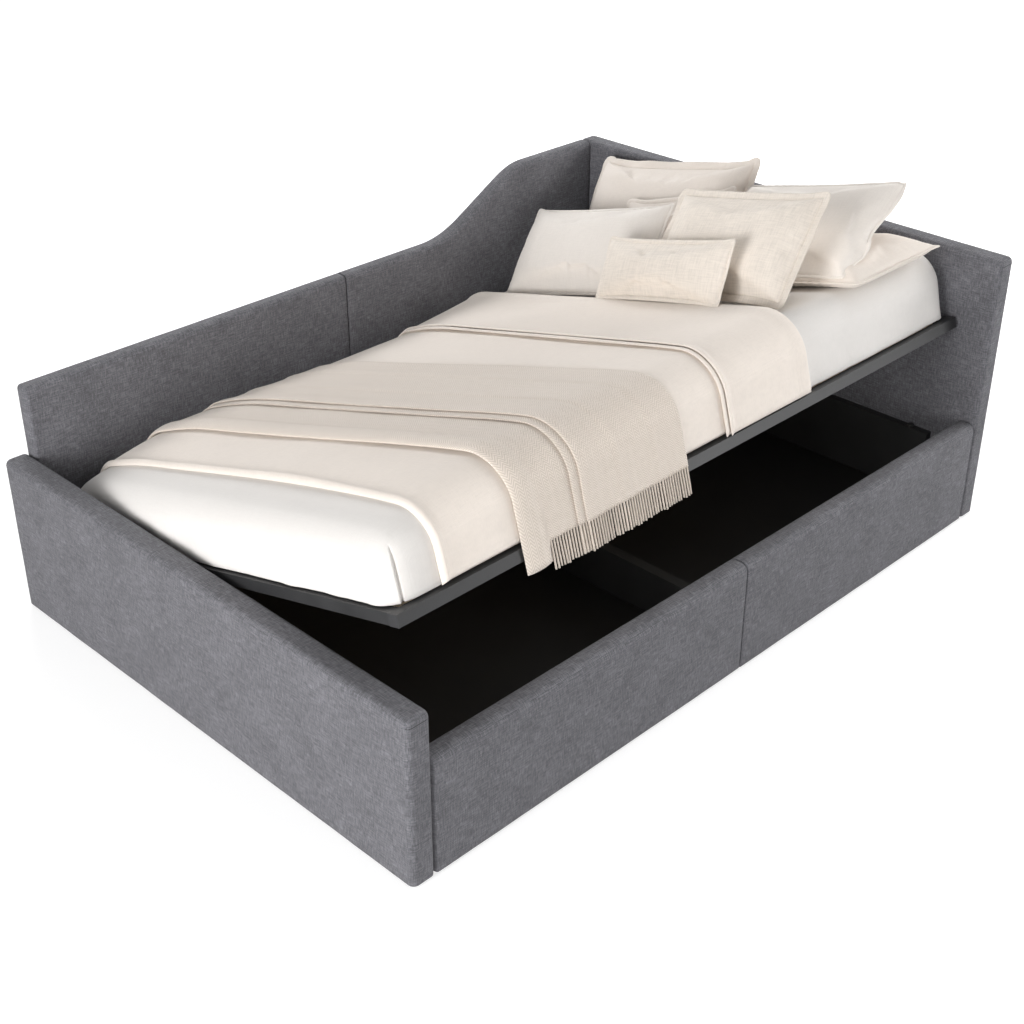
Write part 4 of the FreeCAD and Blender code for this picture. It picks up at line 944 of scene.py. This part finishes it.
# studio and camera
studio = dict(floorHalf=40, floorColor=(0.45, 0.45, 0.45), floorRoughness=0.9, whiteFrom=(1.2, 3.6),
              whiteLevel=(0.69, 0.98), worldLevel=0.03,
              lamps=dict(key=dict(place=(-5.4, -1.0, 2.3), aim=(0, 0, 0.3), size=3.2, power=112),
                         keyLow=dict(place=(-5.4, -0.5, 1.2), aim=(0, 0, 0.3), size=2.4, power=170),
                         fillLow=dict(place=(-2.9, -4.6, 1.0), aim=(0, 0, 0.3), size=2.0, power=95),
                         headLow=dict(place=(3.2, -4.8, 0.9), aim=(0, 0, 0.3), size=2.0, power=88),
                         headSide=dict(place=(5.0, -2.0, 2.6), aim=(0, 0, 0.3), size=2.6, power=147),
                         top=dict(place=(0.2, -0.3, 5.2), aim=(0.2, -0.1, 0.4), size=3.6, power=35),
                         topHead=dict(place=(2.6, -0.2, 5.0), aim=(0, 0, 0.3), size=3.0, power=50),
                         back=dict(place=(2.2, 4.6, 3.0), aim=(0, 0, 0.3), size=3.0, power=195)))


def buildFloor():
    half = studio["floorHalf"]
    mesh = bpy.data.meshes.new("studioFloor")
    corners = [(-half, -half, 0), (half, -half, 0), (half, half, 0), (-half, half, 0)]
    mesh.from_pydata(corners, [], [(0, 1, 2, 3)])
    floor = bpy.data.objects.new("studioFloor", mesh)
    scene.collection.objects.link(floor)
    made, tree, shader = startFinish("studioFloor", studio["floorRoughness"], studio["floorColor"])
    # white to the eye, more so away from the bed, while the shadow stays
    place = put(tree, "ShaderNodeTexCoord").outputs["Object"]
    away = put(tree, "ShaderNodeVectorMath", dict(operation="LENGTH"))
    wire(tree, place, away.inputs[0])
    level = put(tree, "ShaderNodeMapRange")
    for socket, value in zip(level.inputs[1:5], (*studio["whiteFrom"], *studio["whiteLevel"])):
        socket.default_value = value
    wire(tree, away.outputs["Value"], level.inputs[0])
    glow = put(tree, "ShaderNodeEmission")
    seen = put(tree, "ShaderNodeLightPath")
    shown = sums(tree, "MULTIPLY", level.outputs[0], seen.outputs["Is Camera Ray"])
    wire(tree, shown, glow.inputs["Strength"])
    both = put(tree, "ShaderNodeAddShader")
    wire(tree, shader.outputs[0], both.inputs[0])
    wire(tree, glow.outputs[0], both.inputs[1])
    wire(tree, both.outputs[0], tree.nodes["Material Output"].inputs["Surface"])
    mesh.materials.append(made)


def buildWorld():
    # white to the eye and in reflections, faint as a light
    world = bpy.data.worlds.new("studioWorld")
    scene.world = world
    world.use_nodes = True
    tree = world.node_tree
    soft = tree.nodes["Background"]
    white = put(tree, "ShaderNodeBackground")
    for node, level in ((soft, studio["worldLevel"]), (white, 1.0)):
        node.inputs["Color"].default_value = (1, 1, 1, 1)
        node.inputs["Strength"].default_value = level
    seen = put(tree, "ShaderNodeLightPath")
    shown = sums(tree, "MAXIMUM", seen.outputs["Is Camera Ray"], seen.outputs["Is Glossy Ray"])
    mixed = put(tree, "ShaderNodeMixShader")
    wire(tree, shown, mixed.inputs[0])
    wire(tree, soft.outputs[0], mixed.inputs[1])
    wire(tree, white.outputs[0], mixed.inputs[2])
    wire(tree, mixed.outputs[0], tree.nodes["World Output"].inputs[0])


def hangLamps():
    for name, lamp in studio["lamps"].items():
        light = bpy.data.lights.new(name, "AREA")
        light.energy = lamp["power"]
        light.shape = "DISK"
        light.size = lamp["size"]
        holder = bpy.data.objects.new(name, light)
        holder.location = lamp["place"]
        aim = Vector(lamp["aim"]) - Vector(lamp["place"])
        holder.rotation_euler = aim.to_track_quat("-Z", "Y").to_euler()
        holder.visible_camera = False
        scene.collection.objects.link(holder)


view = dict(place=(-2.6393, -2.5844, 2.3217), azimuth=-45.151, elevation=30.58, lens=56.09, sensor=36.0)


def placeCamera():
    camera = bpy.data.cameras.new("photoView")
    camera.lens = view["lens"]
    camera.sensor_width = view["sensor"]
    holder = bpy.data.objects.new("photoView", camera)
    scene.collection.objects.link(holder)
    a, e = math.radians(view["azimuth"]), math.radians(view["elevation"])
    backward = Vector((math.sin(a) * math.cos(e), -math.cos(a) * math.cos(e), math.sin(e)))
    holder.location = view["place"]
    holder.rotation_mode = "QUATERNION"
    holder.rotation_quaternion = (-backward).to_track_quat("-Z", "Y")
    scene.camera = holder


buildFloor()
buildWorld()
hangLamps()
placeCamera()
print("studio ready")
